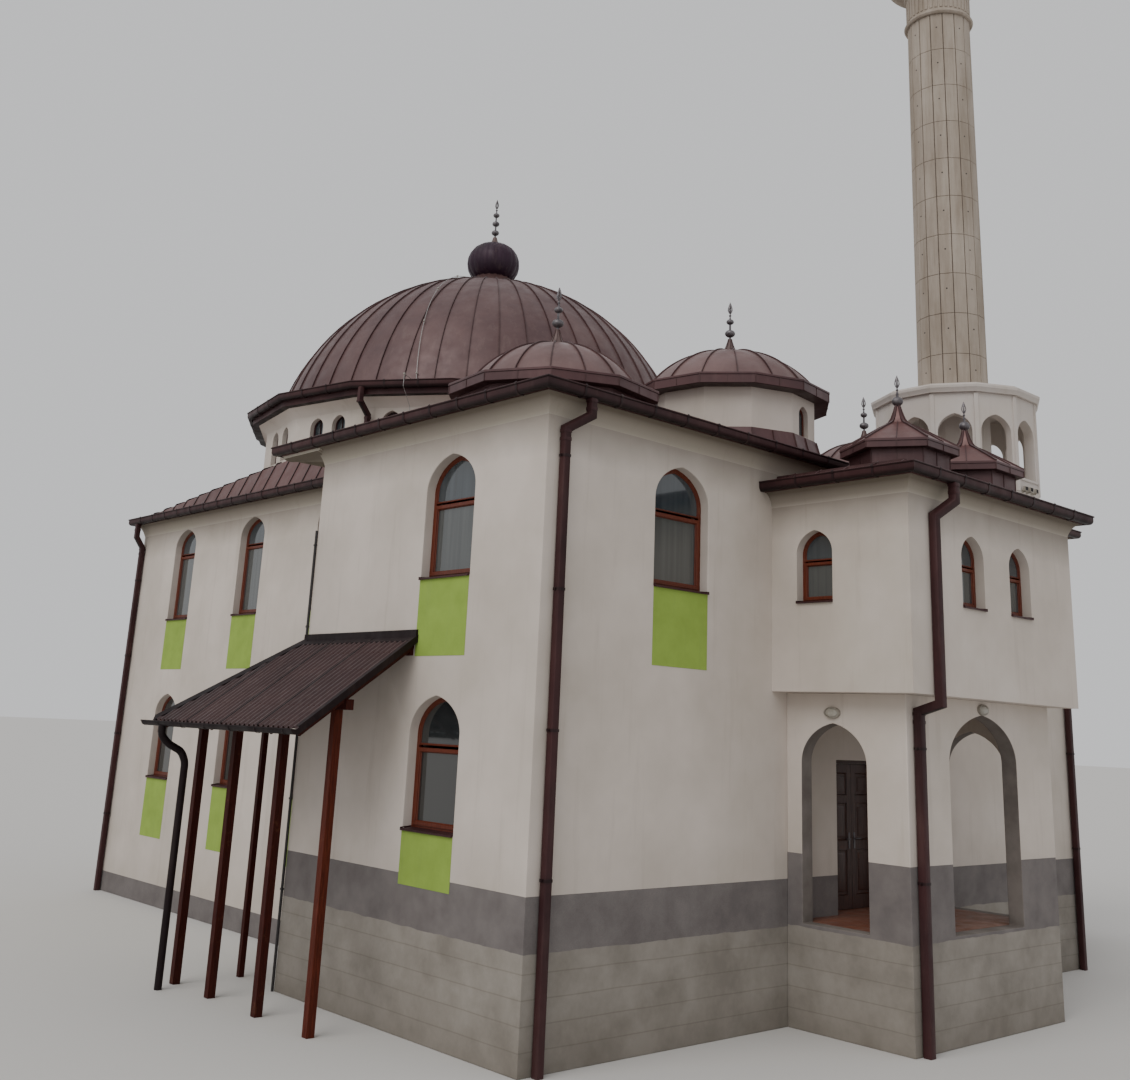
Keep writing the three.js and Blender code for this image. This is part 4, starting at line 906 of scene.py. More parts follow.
def makeDome(name, kind, centre, replaces=()):
    d = domeKinds[kind]
    ball, sweep = capAngles(d["radius"], d["rise"])
    start = Form()
    start.add([(0, 0, 0), (0.01, 0, 0), (0, 0.01, 0)], [(0, 1, 2)])
    skin = start.piece(name, d["finish"], body=None)
    values = {"Sheets": d["sheets"], "Rings": d["rings"], "Rise": d["rise"], "Bulge": d["bulge"]}
    more = {"Ball": ball, "Sweep": sweep, "Centre": centre, "Finish": finishes[d["finish"]]}
    grown(skin, "dome", {**values, **more})
    thick = skin.modifiers.new("sheet", "SOLIDIFY")
    thick.thickness, thick.offset = 0.02, -1
    settle(skin)
    shaded(skin, 60)
    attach(skin, building)
    if replaces:
        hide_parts(*replaces)
    rib = Form()
    half, steps = d["rib"] / 2, 22
    rings = []
    for i in range(steps + 1):
        lean = sweep * (1 - i / steps)
        if ball * math.sin(lean) < d["clear"]:
            break
        out = Vector((math.sin(lean), 0, math.cos(lean)))
        foot = Vector(centre) + upBy(d["rise"] - ball) + out * (ball - 0.01)
        tip = foot + out * (0.01 + d["ribHeight"])
        corners = ((foot, -half), (tip, -half), (tip, half), (foot, half))
        rings.append([p + Vector((0, shift, 0)) for p, shift in corners])
    rib.skin(rings)
    repeated(name + "Seams", rib, "seam", d["sheets"], turn=math.tau / d["sheets"], axis=centre)


def ballRows(height, radius, squash=1.0, steps=8):
    angles = [math.pi * (i + 0.5) / steps for i in range(steps)]
    return [(radius * math.sin(a), height - radius * squash * math.cos(a)) for a in angles]


mainFinial = {
    "foot": [
        (0, -0.06), (0.34, -0.06), (0.47, 0.0), (0.5, 0.05), (0.46, 0.12), (0.4, 0.19), (0.41, 0.25),
        (0.46, 0.31),
    ],
    "bulb": [
        (0.46, 0.3), (0.555, 0.41), (0.615, 0.53), (0.64, 0.66), (0.63, 0.81), (0.58, 0.95), (0.5, 1.07),
        (0.38, 1.16), (0.24, 1.21), (0.1, 1.235),
    ],
    "lobes": 18, "lobeDepth": 0.02, "level": 14.14,
    "cone": [(0.18, 1.2), (0.12, 1.25), (0.075, 1.32), (0.045, 1.42)], "stem": 1.3, "scale": 0.62,
    "balls": [(1.54, 0.095), (1.78, 0.09), (2.01, 0.08)],
}
leafTip = {
    "outline": [(0.0, 0.0), (0.05, 0.14), (0.082, 0.34), (0.07, 0.56), (0.034, 0.82), (0.0, 1.0)],
    "inner": 0.6, "middle": 0.42, "length": 0.42, "thick": 0.008, "squash": 0.74, "stem": 0.02, "turn": 0.4,
}


def finialInto(form, centre, base, scale, balls, count=20):
    # a stem with flattened balls, and a tip of two leaf-shaped frames that cross
    t = leafTip
    rows = [(t["stem"], base)]
    for height, radius in balls:
        reach = radius * t["squash"]
        rows += [(t["stem"], height - reach)] + ballRows(height, radius, t["squash"])
        rows += [(t["stem"], height + reach)]
    last = balls[-1][0] + balls[-1][1]
    rows += [
        (0.02 * scale, last + 0.05 * scale), (0.045 * scale, last + 0.09 * scale),
        (0.02 * scale, last + 0.13 * scale),
    ]
    tip = last + 0.13 * scale
    length = t["length"] * scale
    rows += [(0.016 * scale, tip), (0.012 * scale, tip + length * 0.2)]
    form.lathe(rows, centre, count)
    rim = t["outline"] + [(-u, v) for u, v in reversed(t["outline"][1:-1])]
    foot, up = Vector(centre) + upBy(tip), upBy(length)
    for angle in (t["turn"], t["turn"] + math.pi / 2):
        side = outwards(angle) * scale
        across = leftOf(side).normalized() * t["thick"]
        rings = []
        for u, v in rim:
            outer = foot + side * u + up * v
            inner = foot + side * (u * t["inner"]) + up * (t["middle"] + (v - t["middle"]) * t["inner"])
            rings.append([outer - across, outer + across, inner + across, inner - across])
        form.skin(rings, closed=True)


def makeMainFinial():
    f = mainFinial
    centre = (*site["dome"], f["level"])
    x, y, z = centre
    foot = Form()
    foot.lathe(f["foot"], centre, 36)
    foot.piece("finialFoot", "dome", smooth=40, replaces=["main_finial"])
    bulb = Form()
    count = f["lobes"] * 6
    rings = []
    for radius, height in f["bulb"]:
        ring = []
        for i in range(count):
            angle = math.tau * i / count
            wave = abs(math.sin(angle * f["lobes"] / 2)) ** 0.6 * radius / f["bulb"][3][0]
            reach = radius - f["lobeDepth"] * (1 - wave)
            ring.append((x + reach * math.cos(angle), y + reach * math.sin(angle), z + height))
        rings.append(ring)
    bulb.skin(rings)
    bulb.piece("finialBulb", "bulb", smooth=60)
    cone, stem = Form(), Form()
    cone.lathe(f["cone"], centre, 24)
    cone.piece("finialCone", "cone", smooth=50)
    finialInto(stem, centre, f["stem"], f["scale"], f["balls"])
    stem.piece("finialStem", "alem", smooth=50)


smallFinial = {
    "cone": [(0.26, -0.04), (0.17, 0.0), (0.115, 0.06), (0.075, 0.15), (0.045, 0.24), (0.032, 0.3)],
    "balls": [(0.41, 0.1), (0.65, 0.074)], "scale": 0.6, "stem": 0.24, "folds": 8,
}
smallDomes = [
    ("left", "side", (-site["smallDome"][0], site["smallDome"][1], 9.2303)),
    ("right", "side", (*site["smallDome"], 9.2303)),
    ("middle", "middle", (0, site["smallDome"][1], 10.1503)),
]


def makeSmallFinials():
    f = smallFinial
    cones, folds, stems = Form(), Form(), Form()
    for _, kind, (x, y, base) in smallDomes:
        centre = (x, y, base + domeKinds[kind]["rise"])
        cones.lathe(f["cone"], centre, 24)
        finialInto(stems, centre, f["stem"], f["scale"], f["balls"], 16)
        for i in range(f["folds"]):
            out = outwards(math.tau * i / f["folds"])
            side = leftOf(out) * 0.005
            rings = []
            for radius, height in f["cone"]:
                p = Vector(centre) + out * radius + upBy(height)
                low, high = p - out * 0.01, p + out * 0.009
                rings.append([low - side, low + side, high + side, high - side])
            folds.skin(rings)
    cones.piece("smallFinialCones", "cone", smooth=50)
    folds.piece("smallFinialConeFolds", "seam", smooth=30)
    stems.piece("smallFinialStems", "alem", smooth=50)


makeDome("mainDomeSheets", "main", domeKinds["main"]["centre"], ["main_dome"])
for word, kind, centre in smallDomes:
    makeDome(word + "DomeSheets", kind, centre, [word + "_dome"])
makeMainFinial()
makeSmallFinials()
print("domes made")


# Walls: rings and strips with smooth openings cut through them

wallMake = {
    "thick": 0.35, "thin": 0.25, "edge": 0.012, "steps": 16, "sharp": 20, "doorHalf": 0.8, "doorTop": 3.65,
    # the passage to the porch's upper room has a wider slot for the floor's tongue
    "passage": [
        (-0.7, 4.609), (0.7, 4.609), (0.7, 4.832), (0.6, 4.832), (0.6, 6.93), (-0.6, 6.93), (-0.6, 4.832),
        (-0.7, 4.832),
    ],
}


def mainPlan(out, rear):
    w, h = site["wingHalf"] + out, site["hallHalf"] + out
    front, back, end = site["face"] - out, site["wingBack"] + rear, site["hallBack"] + out
    return [(-w, front), (w, front), (w, back), (h, back), (h, end), (-h, end), (-h, back), (-w, back)]


def porchPlan(half, front, thick):
    # an open U against the front block's face
    back = site["face"] - 0.0005
    inner = half - thick
    return [(-half, back), (-half, front), (half, front), (half, back), (inner, back), (inner, front + thick),
            (-inner, front + thick), (-inner, back)]


def ringInto(form, outer, inner, low, high):
    corners = ((outer, low), (outer, high), (inner, high), (inner, low))
    form.skin([atHeight(loop, z) for loop, z in corners], closed=True)


def archHole(form, place, half, sill, spring, apex, near=-0.4, far=0.7):
    form.plate(archLoop(half, sill, sill + spring, sill + apex, 0, wallMake["steps"]), place, near, far)


def carved(name, solid, holes, finish, replaces, edge=wallMake["edge"]):
    item = solid.piece(name, finish, body=None)
    cutter = holes.piece(name + "Holes", finish, body=None)
    cut = item.modifiers.new("openings", "BOOLEAN")
    cut.operation, cut.solver, cut.object = "DIFFERENCE", "EXACT", cutter
    settle(item)
    bpy.data.objects.remove(cutter)
    if edge:
        bevelled(item, edge)
    shaded(item, wallMake["sharp"])
    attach(item, building)
    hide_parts(*replaces)


def windowHoles(*groups):
    holes = Form()
    for group, place, kind, sill, _ in windows:
        if group in groups:
            archHole(holes, place, sill=sill, **windowKinds[kind])
    return holes


def makeWalls():
    s, m = site, wallMake
    solid = Form()
    ringInto(solid, mainPlan(0, 0), mainPlan(-m["thick"], -m["thick"]), 0, s["wallTop"])
    holes = windowHoles("wing", "hall")
    holes.box((-m["doorHalf"], m["doorHalf"]), (-0.5, 0.5), (-0.2, m["doorTop"]))
    holes.plate(m["passage"], wallPlace(s["face"], (0, -1), 0), -0.3, 0.6)
    carved("mainWalls", solid, holes, "mainWall", nodeFinishes["mainWall"])

    arcade, arches, a = Form(), Form(), arcadeSize
    plan = porchPlan(a["half"], a["front"], m["thin"])
    arcade.skin([atHeight(plan, z) for z in (0, a["top"])])
    archHole(arches, wallPlace(a["front"], (0, -1), 0), sill=s["floor"], **porchArches["front"])
    for side in (-1, 1):
        place = wallPlace(side * a["half"], (side, 0), a["sideArch"])
        archHole(arches, place, sill=s["floor"], **porchArches["side"])
    carved("porchArcade", arcade, arches, "porchWall", ["porch_arcade"])

    upper, r = Form(), roomSize
    plan = porchPlan(r["half"] + 0.002, r["front"] - 0.002, m["thin"])
    upper.skin([atHeight(plan, z) for z in (r["low"], r["top"])])
    carved("porchUpperWalls", upper, windowHoles("porch"), "upperWall", ["porch_upper_walls"], 0)


# Eaves: plaster coves, gutters with straps, downpipes with clips

eaveMake = {
    "out": 0.315, "rear": 1.25, "wide": 0.13, "deep": 0.15, "strap": 0.04, "strapStep": 0.66,
    "clipStep": 1.75, "cove": (0.175, 0.25), "porchCove": (0.165, 0.2), "corner": 0.014,
    # the soffit behind the front block: its extent, and where its lip begins and ends
    "soffit": {"across": (5.16, 7.262), "along": (5.3, 6.46), "thick": 0.045, "lip": (5.36, 6.44)},
    # downpipes: plan places, heights of the bends, and the first clip's height with the number of clips
    "frontPipe": {
        "half": 0.055, "outlet": (6.56, -0.424), "foot": (6.85, -0.25), "bends": (7.98, 7.77),
        "clips": (7.42, 4),
    },
    "rearPipe": {
        "half": 0.055, "outlet": (5.389, 16.505), "foot": (5.215, 16.505), "bends": (7.9, 7.66),
        "clips": (6.9, 4),
    },
    "porchPipe": {
        "half": 0.062, "outlet": (-1.58, -2.825), "wall": (-1.84, -2.65), "foot": (-1.84, -2.305),
        "bends": (7.35, 7.11, 4.49, 4.38), "clips": (3.9, 2),
    },
    "endPlate": [(-0.004, 0.0), (0.13, 0.0), (0.13, -0.12), (0.1, -0.152), (0.03, -0.15), (-0.002, -0.1)],
}


def coveRows(top, reach, drop, wallTop):
    # the arc starts half way round, so a crease shows where the cove leaves the wall
    arc, lean = [], math.pi / 4
    for i in range(9):
        angle = lean + (math.pi / 2 - lean) * i / 8
        share = (math.sin(angle) - math.sin(lean)) / (1 - math.sin(lean))
        arc.append((0.002 + reach * (1 - math.cos(angle) / math.cos(lean)), top - drop * (1 - share)))
    foot = min(top - drop, wallTop) - 0.01
    return [(0.001, foot)] + arc + [(reach + 0.012, top), (-0.2, top), (-0.2, wallTop), (0.001, wallTop)]


def gutterRows(top):
    wide, low = eaveMake["wide"], top - eaveMake["deep"]
    bead = [
        (0.0, top - 0.026), (-0.012, top - 0.022), (-0.017, top - 0.009), (-0.01, top + 0.002),
        (0.004, top + 0.002),
    ]
    inside = [
        (0.009, top - 0.012), (0.009, low + 0.06), (0.03, low + 0.02), (0.055, low + 0.01),
        (wide - 0.05, low + 0.01), (wide - 0.009, low + 0.03), (wide - 0.009, top),
    ]
    outside = [
        (wide, top), (wide, low + 0.03), (wide - 0.035, low + 0.002), (0.055, low), (0.028, low + 0.01),
        (0.008, low + 0.035), (0.0, low + 0.06),
    ]
    return bead + inside + outside


def strapRows(top):
    low = top - eaveMake["deep"]
    outside = [
        (-0.014, top + 0.007), (-0.022, top - 0.009), (-0.016, top - 0.028), (-0.006, top - 0.032),
        (-0.006, low + 0.058), (0.003, low + 0.031), (0.024, low + 0.004), (0.054, low - 0.007),
        (0.13, low - 0.007),
    ]
    return outside + [(u + 0.01, v + 0.01) for u, v in reversed(outside)]


# straps along one straight run of gutter, from one corner of its rim to the next
def straps(a, b, top):
    a, b = Vector((*a, 0)), Vector((*b, 0))
    run = b - a
    length = run.length
    along = run.normalized()
    inward = leftOf(along)
    count = max(1, round(length / eaveMake["strapStep"]) - 1)
    step = length / (count + 1)
    strap = Form()
    half = eaveMake["strap"] / 2
    first = a + along * step
    rows = strapRows(top)
    strap.skin([[first + inward * u + along * shift + upBy(v) for u, v in rows] for shift in (-half, half)])
    return repeated("strapRun", strap, "fold", count, step=tuple(along * step), smooth=30, body=None)


def squarePipe(half):
    points, soft = [], eaveMake["corner"]
    for cx, cy, start in ((1, 1, 0), (-1, 1, 90), (-1, -1, 180), (1, -1, 270)):
        for turn in (0, 45, 90):
            angle = math.radians(start + turn)
            x, y = cx * (half - soft), cy * (half - soft)
            points.append((x + soft * math.cos(angle), y + soft * math.sin(angle)))
    return points


def pipeRun(pipes, path, half, wallSide, clips):
    # the last stretch of the path is the long drop; clips gives its first height and their number
    pipes.pipe(path, squarePipe(half))
    for x, y, z in (path[0], path[-2]):
        for low, out in ((0.02, 0.006), (-0.09, 0.005)):
            pipes.pipe([(x, y, z + low - 0.03), (x, y, z + low - 0.075)], squarePipe(half + out))
    x, y = path[-1][0], path[-1][1]
    clip = Form()
    top, count = clips
    clip.pipe([(x, y, top), (x, y, top - 0.035)], squarePipe(half + 0.006))
    toWall, across = Vector((*wallSide, 0)), Vector((-wallSide[1], wallSide[0], 0))
    middle = Vector((x, y, top - 0.0175))

    def slab(centre, outline, near, far):
        clip.skin([[centre + across * u + upBy(v) + toWall * w for u, v in outline] for w in (near, far)])

    # an ear at each side with its bolt, and the pin into the wall
    for sign in (-1, 1):
        ear = middle + across * sign * (half + 0.018)
        slab(ear, rectangle(0.016, -0.014, 0.014), -0.008, 0.008)
        slab(ear, polygon(6, 0.004), -0.016, 0.016)
    slab(middle + toWall * half, rectangle(0.01, -0.01, 0.01), 0.0, 0.03)
    step = (0, 0, -eaveMake["clipStep"])
    return repeated("clipRun", clip, "fold", count, step=step, smooth=30, body=None)


def porchRim(out, back):
    half, front = roomSize["half"] + out, roomSize["front"] - out
    return [(-half, back), (-half, front), (half, front), (half, back)]


def makeCoves():
    s, e = site, eaveMake
    head = s["eave"] - e["deep"] - 0.0003
    coves = Form()
    coves.trim(lambda out: mainPlan(out, out), coveRows(head, *e["cove"], s["wallTop"] + 0.0004), flatPlace)
    # the soffit runs on behind the front block, under the deep eave
    soffit = e["soffit"]
    lip = [
        (0.0, head - 0.2), (0.03, head - 0.13), (0.09, head - 0.07), (0.165, head - 0.045), (0.165, head),
        (0.0, head),
    ]
    for side in (-1, 1):
        edge = side * s["wingHalf"]
        coves.box(sorted(side * x for x in soffit["across"]), soffit["along"], (head - soffit["thick"], head))
        ends = zip(soffit["lip"], (0, head - 0.07))
        coves.skin([[(edge + side * u, y, max(z, low)) for u, z in lip] for y, low in ends])
    coves.piece("mainCove", "cove", smooth=30, replaces=["main_cornice"])
    porchCove = Form()
    rows = coveRows(s["porchEave"] - e["deep"] - 0.0003, *e["porchCove"], roomSize["top"] + 0.001)
    back = s["face"] - 0.0005
    porchCove.skin([atHeight(porchRim(out, back), z) for out, z in rows], closed=True)
    porchCove.piece("porchCove", "cove", smooth=30, replaces=["porch_cornice"])


def makeMainGutter(pipes, bits):
    s, e = site, eaveMake
    gutter = Form()
    gutter.trim(lambda inset: mainPlan(e["out"] - inset, e["rear"] - inset), gutterRows(s["eave"]), flatPlace)
    rim = mainPlan(e["out"], e["rear"])
    for start, end in zip(rim, rim[1:] + rim[:1]):
        bits.append(straps(start, end, s["eave"]))
    top = s["eave"] - e["deep"] + 0.012
    for side in (-1, 1):
        for run, wallSide in ((e["frontPipe"], (0, 1)), (e["rearPipe"], (-side, 0))):
            outlet, foot = ((side * x, y) for x, y in (run["outlet"], run["foot"]))
            upper, lower = run["bends"]
            path = [(*outlet, top), (*outlet, upper), (*foot, lower), (*foot, 0)]
            bits.append(pipeRun(pipes, path, run["half"], wallSide, run["clips"]))
    gutter.piece("mainGutterTrough", "gutter", smooth=30, replaces=["main_gutter"])


def makePorchGutter(pipes, bits):
    s, e = site, eaveMake
    gutter, end = Form(), s["face"] - 0.006
    rings = [atHeight(porchRim(e["out"] - inset, end), z) for inset, z in gutterRows(s["porchEave"])]
    # the section runs from one end to the other, so its rings are turned into stations
    gutter.skin([[ring[i] for ring in rings] for i in range(4)])
    reach = roomSize["half"] + e["out"]
    for side in (-1, 1):
        plate = [(side * (reach - inset), s["porchEave"] + drop) for inset, drop in e["endPlate"]]
        gutter.skin([[(x, end + shift, z) for x, z in plate] for shift in (-0.004, 0.004)])
    gutter.piece("porchGutterTrough", "gutter", smooth=30, replaces=["porch_gutter"])
    rim = porchRim(e["out"], end)
    for start, stop in zip(rim, rim[1:]):
        bits.append(straps(start, stop, s["porchEave"]))
    run = e["porchPipe"]
    outlet, wall, foot = run["outlet"], run["wall"], run["foot"]
    places = (outlet, outlet, wall, wall, foot, foot)
    levels = (s["porchEave"] - e["deep"] + 0.012, *run["bends"], 0)
    path = [(*place, level) for place, level in zip(places, levels)]
    bits.append(pipeRun(pipes, path, run["half"], (0, 1), run["clips"]))


def makeEaves():
    makeCoves()
    pipes, bits = Form(), []
    makeMainGutter(pipes, bits)
    makePorchGutter(pipes, bits)
    pipes.piece("downpipes", "gutter", smooth=30)
    gathered("gutterStraps", bits)


# Roof sheets: standing seams draped over the roofs, and ridge rolls

seamMake = {
    "wide": 0.014, "high": 0.03, "step": 0.52, "sample": 0.05, "edge": 0.18, "inEdge": 0.3, "rear": 1.118,
    "drum": 4.9,
    # how far up the slopes the seams reach: the front block's front, back, sides and hips, then the hall's
    "wingReach": (3.0, 3.6, 1.33, 1.88), "hallReach": (3.0, 3.4),
    # width and height of the hall's folds and of the rolls on the hips
    "hall": (0.026, 0.038), "wingHip": (0.05, 0.022), "hallHip": (0.06, 0.03),
    # number, step and reach of the seams at the porch's front, and at its sides also where the first one is
    "porchFront": (10, 0.51, 2.56), "porchSide": (5, 0.5, 0.35, -2.5),
}


def coverOf(*names):
    points, faces = [], []
    for name in names:
        mesh, place, base = nodes[name].data, nodes[name].matrix_world, len(points)
        points += [place @ vertex.co for vertex in mesh.vertices]
        faces += [[base + i for i in face.vertices] for face in mesh.polygons]
    return BVHTree.FromPolygons(points, faces)


def inDrum(x, y):
    return math.hypot(x - site["dome"][0], y - site["dome"][1]) < seamMake["drum"]


def draped(cover, start, along, reach):
    # heights of the roof along a line in plan, up to the drum, thinned to where the slope changes
    path = []
    steps = max(2, int(reach / seamMake["sample"]))
    for i in range(steps + 1):
        spot = Vector((*start, 0)) + Vector((*along, 0)) * (reach * i / steps)
        if inDrum(spot.x, spot.y):
            break
        hit = cover.ray_cast(Vector((spot.x, spot.y, 30)), Vector((0, 0, -1)))[0]
        if hit is None or (path and abs(hit.z - path[-1].z) > 0.25):
            break
        path.append(hit)
    thin = path[:1]
    for before, at, after in zip(path, path[1:], path[2:]):
        if abs((at.z - before.z) - (after.z - at.z)) > 0.003:
            thin.append(at)
    return thin + path[-1:] if len(path) > 2 else []


def seamInto(form, path, wide=seamMake["wide"], high=seamMake["high"]):
    if len(path) < 2:
        return
    side = leftOf(path[-1] - path[0]).normalized() * wide / 2
    low, up = upBy(-0.01), upBy(high)
    form.skin([[p - side + low, p + side + low, p + side + up, p - side + up] for p in path])


def spaced(length, step, inset=0.0):
    # places about the middle of a length, one step apart
    count = int((length - inset) / step)
    return [(i - (count - 1) / 2) * step for i in range(count)]


def wingSeams(seams, cover, hall):
    s, m = site, seamMake
    wing, front, back = s["wingHalf"] + m["edge"], s["face"] - m["edge"], s["wingBack"] + m["rear"]
    frontReach, backReach, sideReach, hipReach = m["wingReach"]
    for x in spaced(2 * wing, m["step"], m["inEdge"]):
        near = wing - abs(x)
        seamInto(seams, draped(cover, (x, front), (0, 1), frontReach if near > sideReach else near))
        if abs(x) > hall + 0.05:
            seamInto(seams, draped(cover, (x, back), (0, -1), backReach if near > sideReach else near))
    for shift in spaced(back - front, m["step"], m["inEdge"]):
        y = (front + back) / 2 + shift
        reach = min(sideReach, y - front, back - y)
        for side in (-1, 1):
            seamInto(seams, draped(cover, (side * wing, y), (-side, 0), reach))
    for side in (-1, 1):
        for y, way in ((front, 1), (back, -1)):
            direction = Vector((-side, way)).normalized()
            seamInto(seams, draped(cover, (side * wing, y), direction, hipReach), *m["wingHip"])


def hallFolds(folds, cover, hall):
    s, m = site, seamMake
    back, end = s["wingBack"] + m["rear"], s["hallBack"] + m["edge"]
    reach, hipReach = m["hallReach"]
    for i in range(int((end - back) / m["step"]) + 1):
        y = end - m["inEdge"] - i * m["step"]
        for side in (-1, 1):
            path = draped(cover, (side * hall, y), (-side, 0), min(reach, end - y + 0.2))
            seamInto(folds, path, *m["hall"])
    for x in spaced(2 * hall, m["step"], m["inEdge"]):
        path = draped(cover, (x, end), (0, -1), min(reach, hall - abs(x) + 0.2))
        seamInto(folds, path, *m["hall"])
    for side in (-1, 1):
        direction = Vector((-side, -1)).normalized()
        seamInto(folds, draped(cover, (side * hall, end), direction, hipReach), *m["hallHip"])


def porchSeams(seams):
    r, m = roomSize, seamMake
    cover = coverOf("porch_roof")
    count, step, reach = m["porchFront"]
    for i in range(count):
        x = (i - (count - 1) / 2) * step
        seamInto(seams, draped(cover, (x, r["front"] - m["edge"]), (0, 1), reach))
    count, step, reach, first = m["porchSide"]
    for side in (-1, 1):
        for i in range(count):
            start = (side * (r["half"] + m["edge"]), first + i * step)
            seamInto(seams, draped(cover, start, (-side, 0), reach))


def makeRoofSeams():
    seams, folds = Form(), Form()
    cover = coverOf("wing_roof", "hall_roof")
    hall = site["hallHalf"] + seamMake["edge"]
    wingSeams(seams, cover, hall)
    hallFolds(folds, cover, hall)
    porchSeams(seams)
    seams.piece("roofSeams", "seam", smooth=30)
    folds.piece("hallRoofFolds", "fold", smooth=30)


# The main drum, its windows, gutter and flashing

drumMake = {
    "sides": 16, "radius": 4.95, "thick": 0.25, "seat": 9.0503, "top": 10.17, "rim": 5.42, "eave": 10.38,
    "window": {"half": 0.19, "spring": 0.52, "apex": 0.72}, "sill": 9.15, "apart": 0.32, "fascia": 0.255,
    # how far the wall's head flares out, and at what height
    "flare": [(0.0, 9.93), (0.03, 9.99), (0.1, 10.06), (0.2, 10.12), (0.3, 10.155), (0.31, 10.17)],
    "windowFrame": [(0.001, 0.1), (0.03, 0.1), (0.034, 0.106), (0.034, 0.15), (0.001, 0.15)],
    "pipe": {
        "half": 0.05, "out": 5.35, "in": 5.03, "levels": (10.25, 9.98, 9.76, 9.1), "clips": (9.98, 9.72, 9.3),
    },
}


def drumRing(radius):
    return polygon(drumMake["sides"], radius, 0, site["dome"])


def makeDrumWalls():
    d = drumMake
    share = math.cos(math.pi / d["sides"])
    wall, holes, frames, panes = Form(), Form(), Form(), Form()
    inner = d["radius"] - d["thick"]
    rows = [(d["radius"], d["seat"])] + [(d["radius"] + out, z) for out, z in d["flare"]]
    rows += [(inner, d["top"]), (inner, d["seat"])]
    wall.skin([atHeight(drumRing(radius), z) for radius, z in rows], closed=True)
    window = d["window"]
    half, spring, apex = window["half"], d["sill"] + window["spring"], d["sill"] + window["apex"]

    def loop(inset):
        return archLoop(half, d["sill"], spring, apex, inset, 10)

    def bar(inset):
        return rectangle(0.012 - inset, d["sill"] + 0.03, apex - 0.04)

    for i in range(2 * d["sides"]):
        place = facetPlace((i // 2 + 0.5) * math.tau / d["sides"], d["radius"] * share, site["dome"])
        shift = d["apart"] if i % 2 else -d["apart"]

        def spot(u, v, depth, place=place, shift=shift):
            return place(u + shift, v, depth)
        archHole(holes, spot, sill=d["sill"], near=-0.3, far=0.5, **d["window"])
        frames.trim(loop, d["windowFrame"], spot)
        frames.trim(bar, [(0.0, 0.106), (0.003, 0.102), (0.004, 0.102), (0.0, 0.13)], spot)
        panes.plate(loop(0.02), spot, 0.122, 0.128)
    carved("drumWalls", wall, holes, "wall", ["drum_wall_front", "drum_wall_back"], 0.006)
    frames.piece("drumWindowFrames", "gutter", smooth=30)
    panes.piece("drumWindowPanes", "archPane", smooth=30, replaces=["drum_glazing"])


def makeDrumGutter():
    d = drumMake
    gutter, eave, low = Form(), d["eave"], d["eave"] - d["fascia"]
    # a dark fascia and soffit carry the gutter, and a sheet apron runs up to the dome
    soffit = [(0.131, eave - 0.004), (0.131, low), (0.2, low - 0.007), (0.4, low - 0.007), (0.4, eave - 0.02)]
    apron = [(0.12, eave + 0.004), (0.12, eave - 0.004), (0.3, eave + 0.002), (0.98, eave + 0.002),
             (0.98, eave + 0.03), (0.6, eave + 0.03)]
    for rows in (gutterRows(eave), soffit, apron):
        gutter.trim(lambda inset: drumRing(d["rim"] - inset), rows, flatPlace)
    pipes, p = Form(), d["pipe"]
    out = outwards(math.pi + math.tau / d["sides"] + 0.04)

    def along(radius, z):
        return (site["dome"][0] + radius * out.x, site["dome"][1] + radius * out.y, z)

    radii = (p["out"], p["out"], p["in"], p["in"])
    pipes.pipe([along(radius, z) for radius, z in zip(radii, p["levels"])], squarePipe(p["half"]))
    for radius, z in zip(radii[1:], p["clips"]):
        pipes.pipe([along(radius, z), along(radius, z - 0.04)], squarePipe(p["half"] + 0.006))
    pipes.piece("drumDownpipe", "gutter", smooth=30)
    gutter.piece("drumGutterTrough", "gutter", smooth=30, replaces=["dome_gutter"])
    rim = drumRing(d["rim"])
    bits = [straps(start, end, eave) for start, end in zip(rim, rim[1:] + rim[:1])]
    gathered("drumGutterStraps", bits)


def makeDrum():
    makeDrumWalls()
    makeDrumGutter()


# The small domes' bases, the middle drum and the porch's turrets

baseMake = {
    "foot": 8.6503, "collar": ((1.8, 8.6503), (1.642, 9.2)), "inner": 1.28,
    "side": {"sides": 10, "turn": 0.29, "fascia": 1.78, "body": 1.6, "eave": 9.06, "rim": 9.23},
    "middle": {"sides": 12, "turn": 0.8, "fascia": 1.9, "body": 1.62, "eave": 9.96, "rim": 10.15},
    "window": {"half": 0.17, "spring": 0.38, "apex": 0.56}, "sill": 9.23, "windows": (-81, 9, 99),
    "windowFrame": [(0.001, 0.09), (0.026, 0.09), (0.03, 0.095), (0.03, 0.14), (0.001, 0.14)],
}


def fasciaRows(fascia, inner, eave, rim):
    return [
        (fascia + 0.012, rim - 0.035), (fascia + 0.012, rim - 0.004), (fascia + 0.004, rim + 0.004),
        (inner, rim + 0.03), (inner, rim - 0.01), (inner + 0.05, eave), (fascia - 0.05, eave - 0.012),
        (fascia - 0.012, eave - 0.008), (fascia - 0.002, eave), (fascia - 0.002, rim - 0.04),
    ]


def cornersAndMiddles(sides, turn=0.0):
    # the angle of each corner and each side's middle, its share of the radius, and whether it is a corner
    for i in range(2 * sides):
        corner = i % 2 == 0
        yield (i / 2 + turn) * math.tau / sides, 1 if corner else math.cos(math.pi / sides), corner


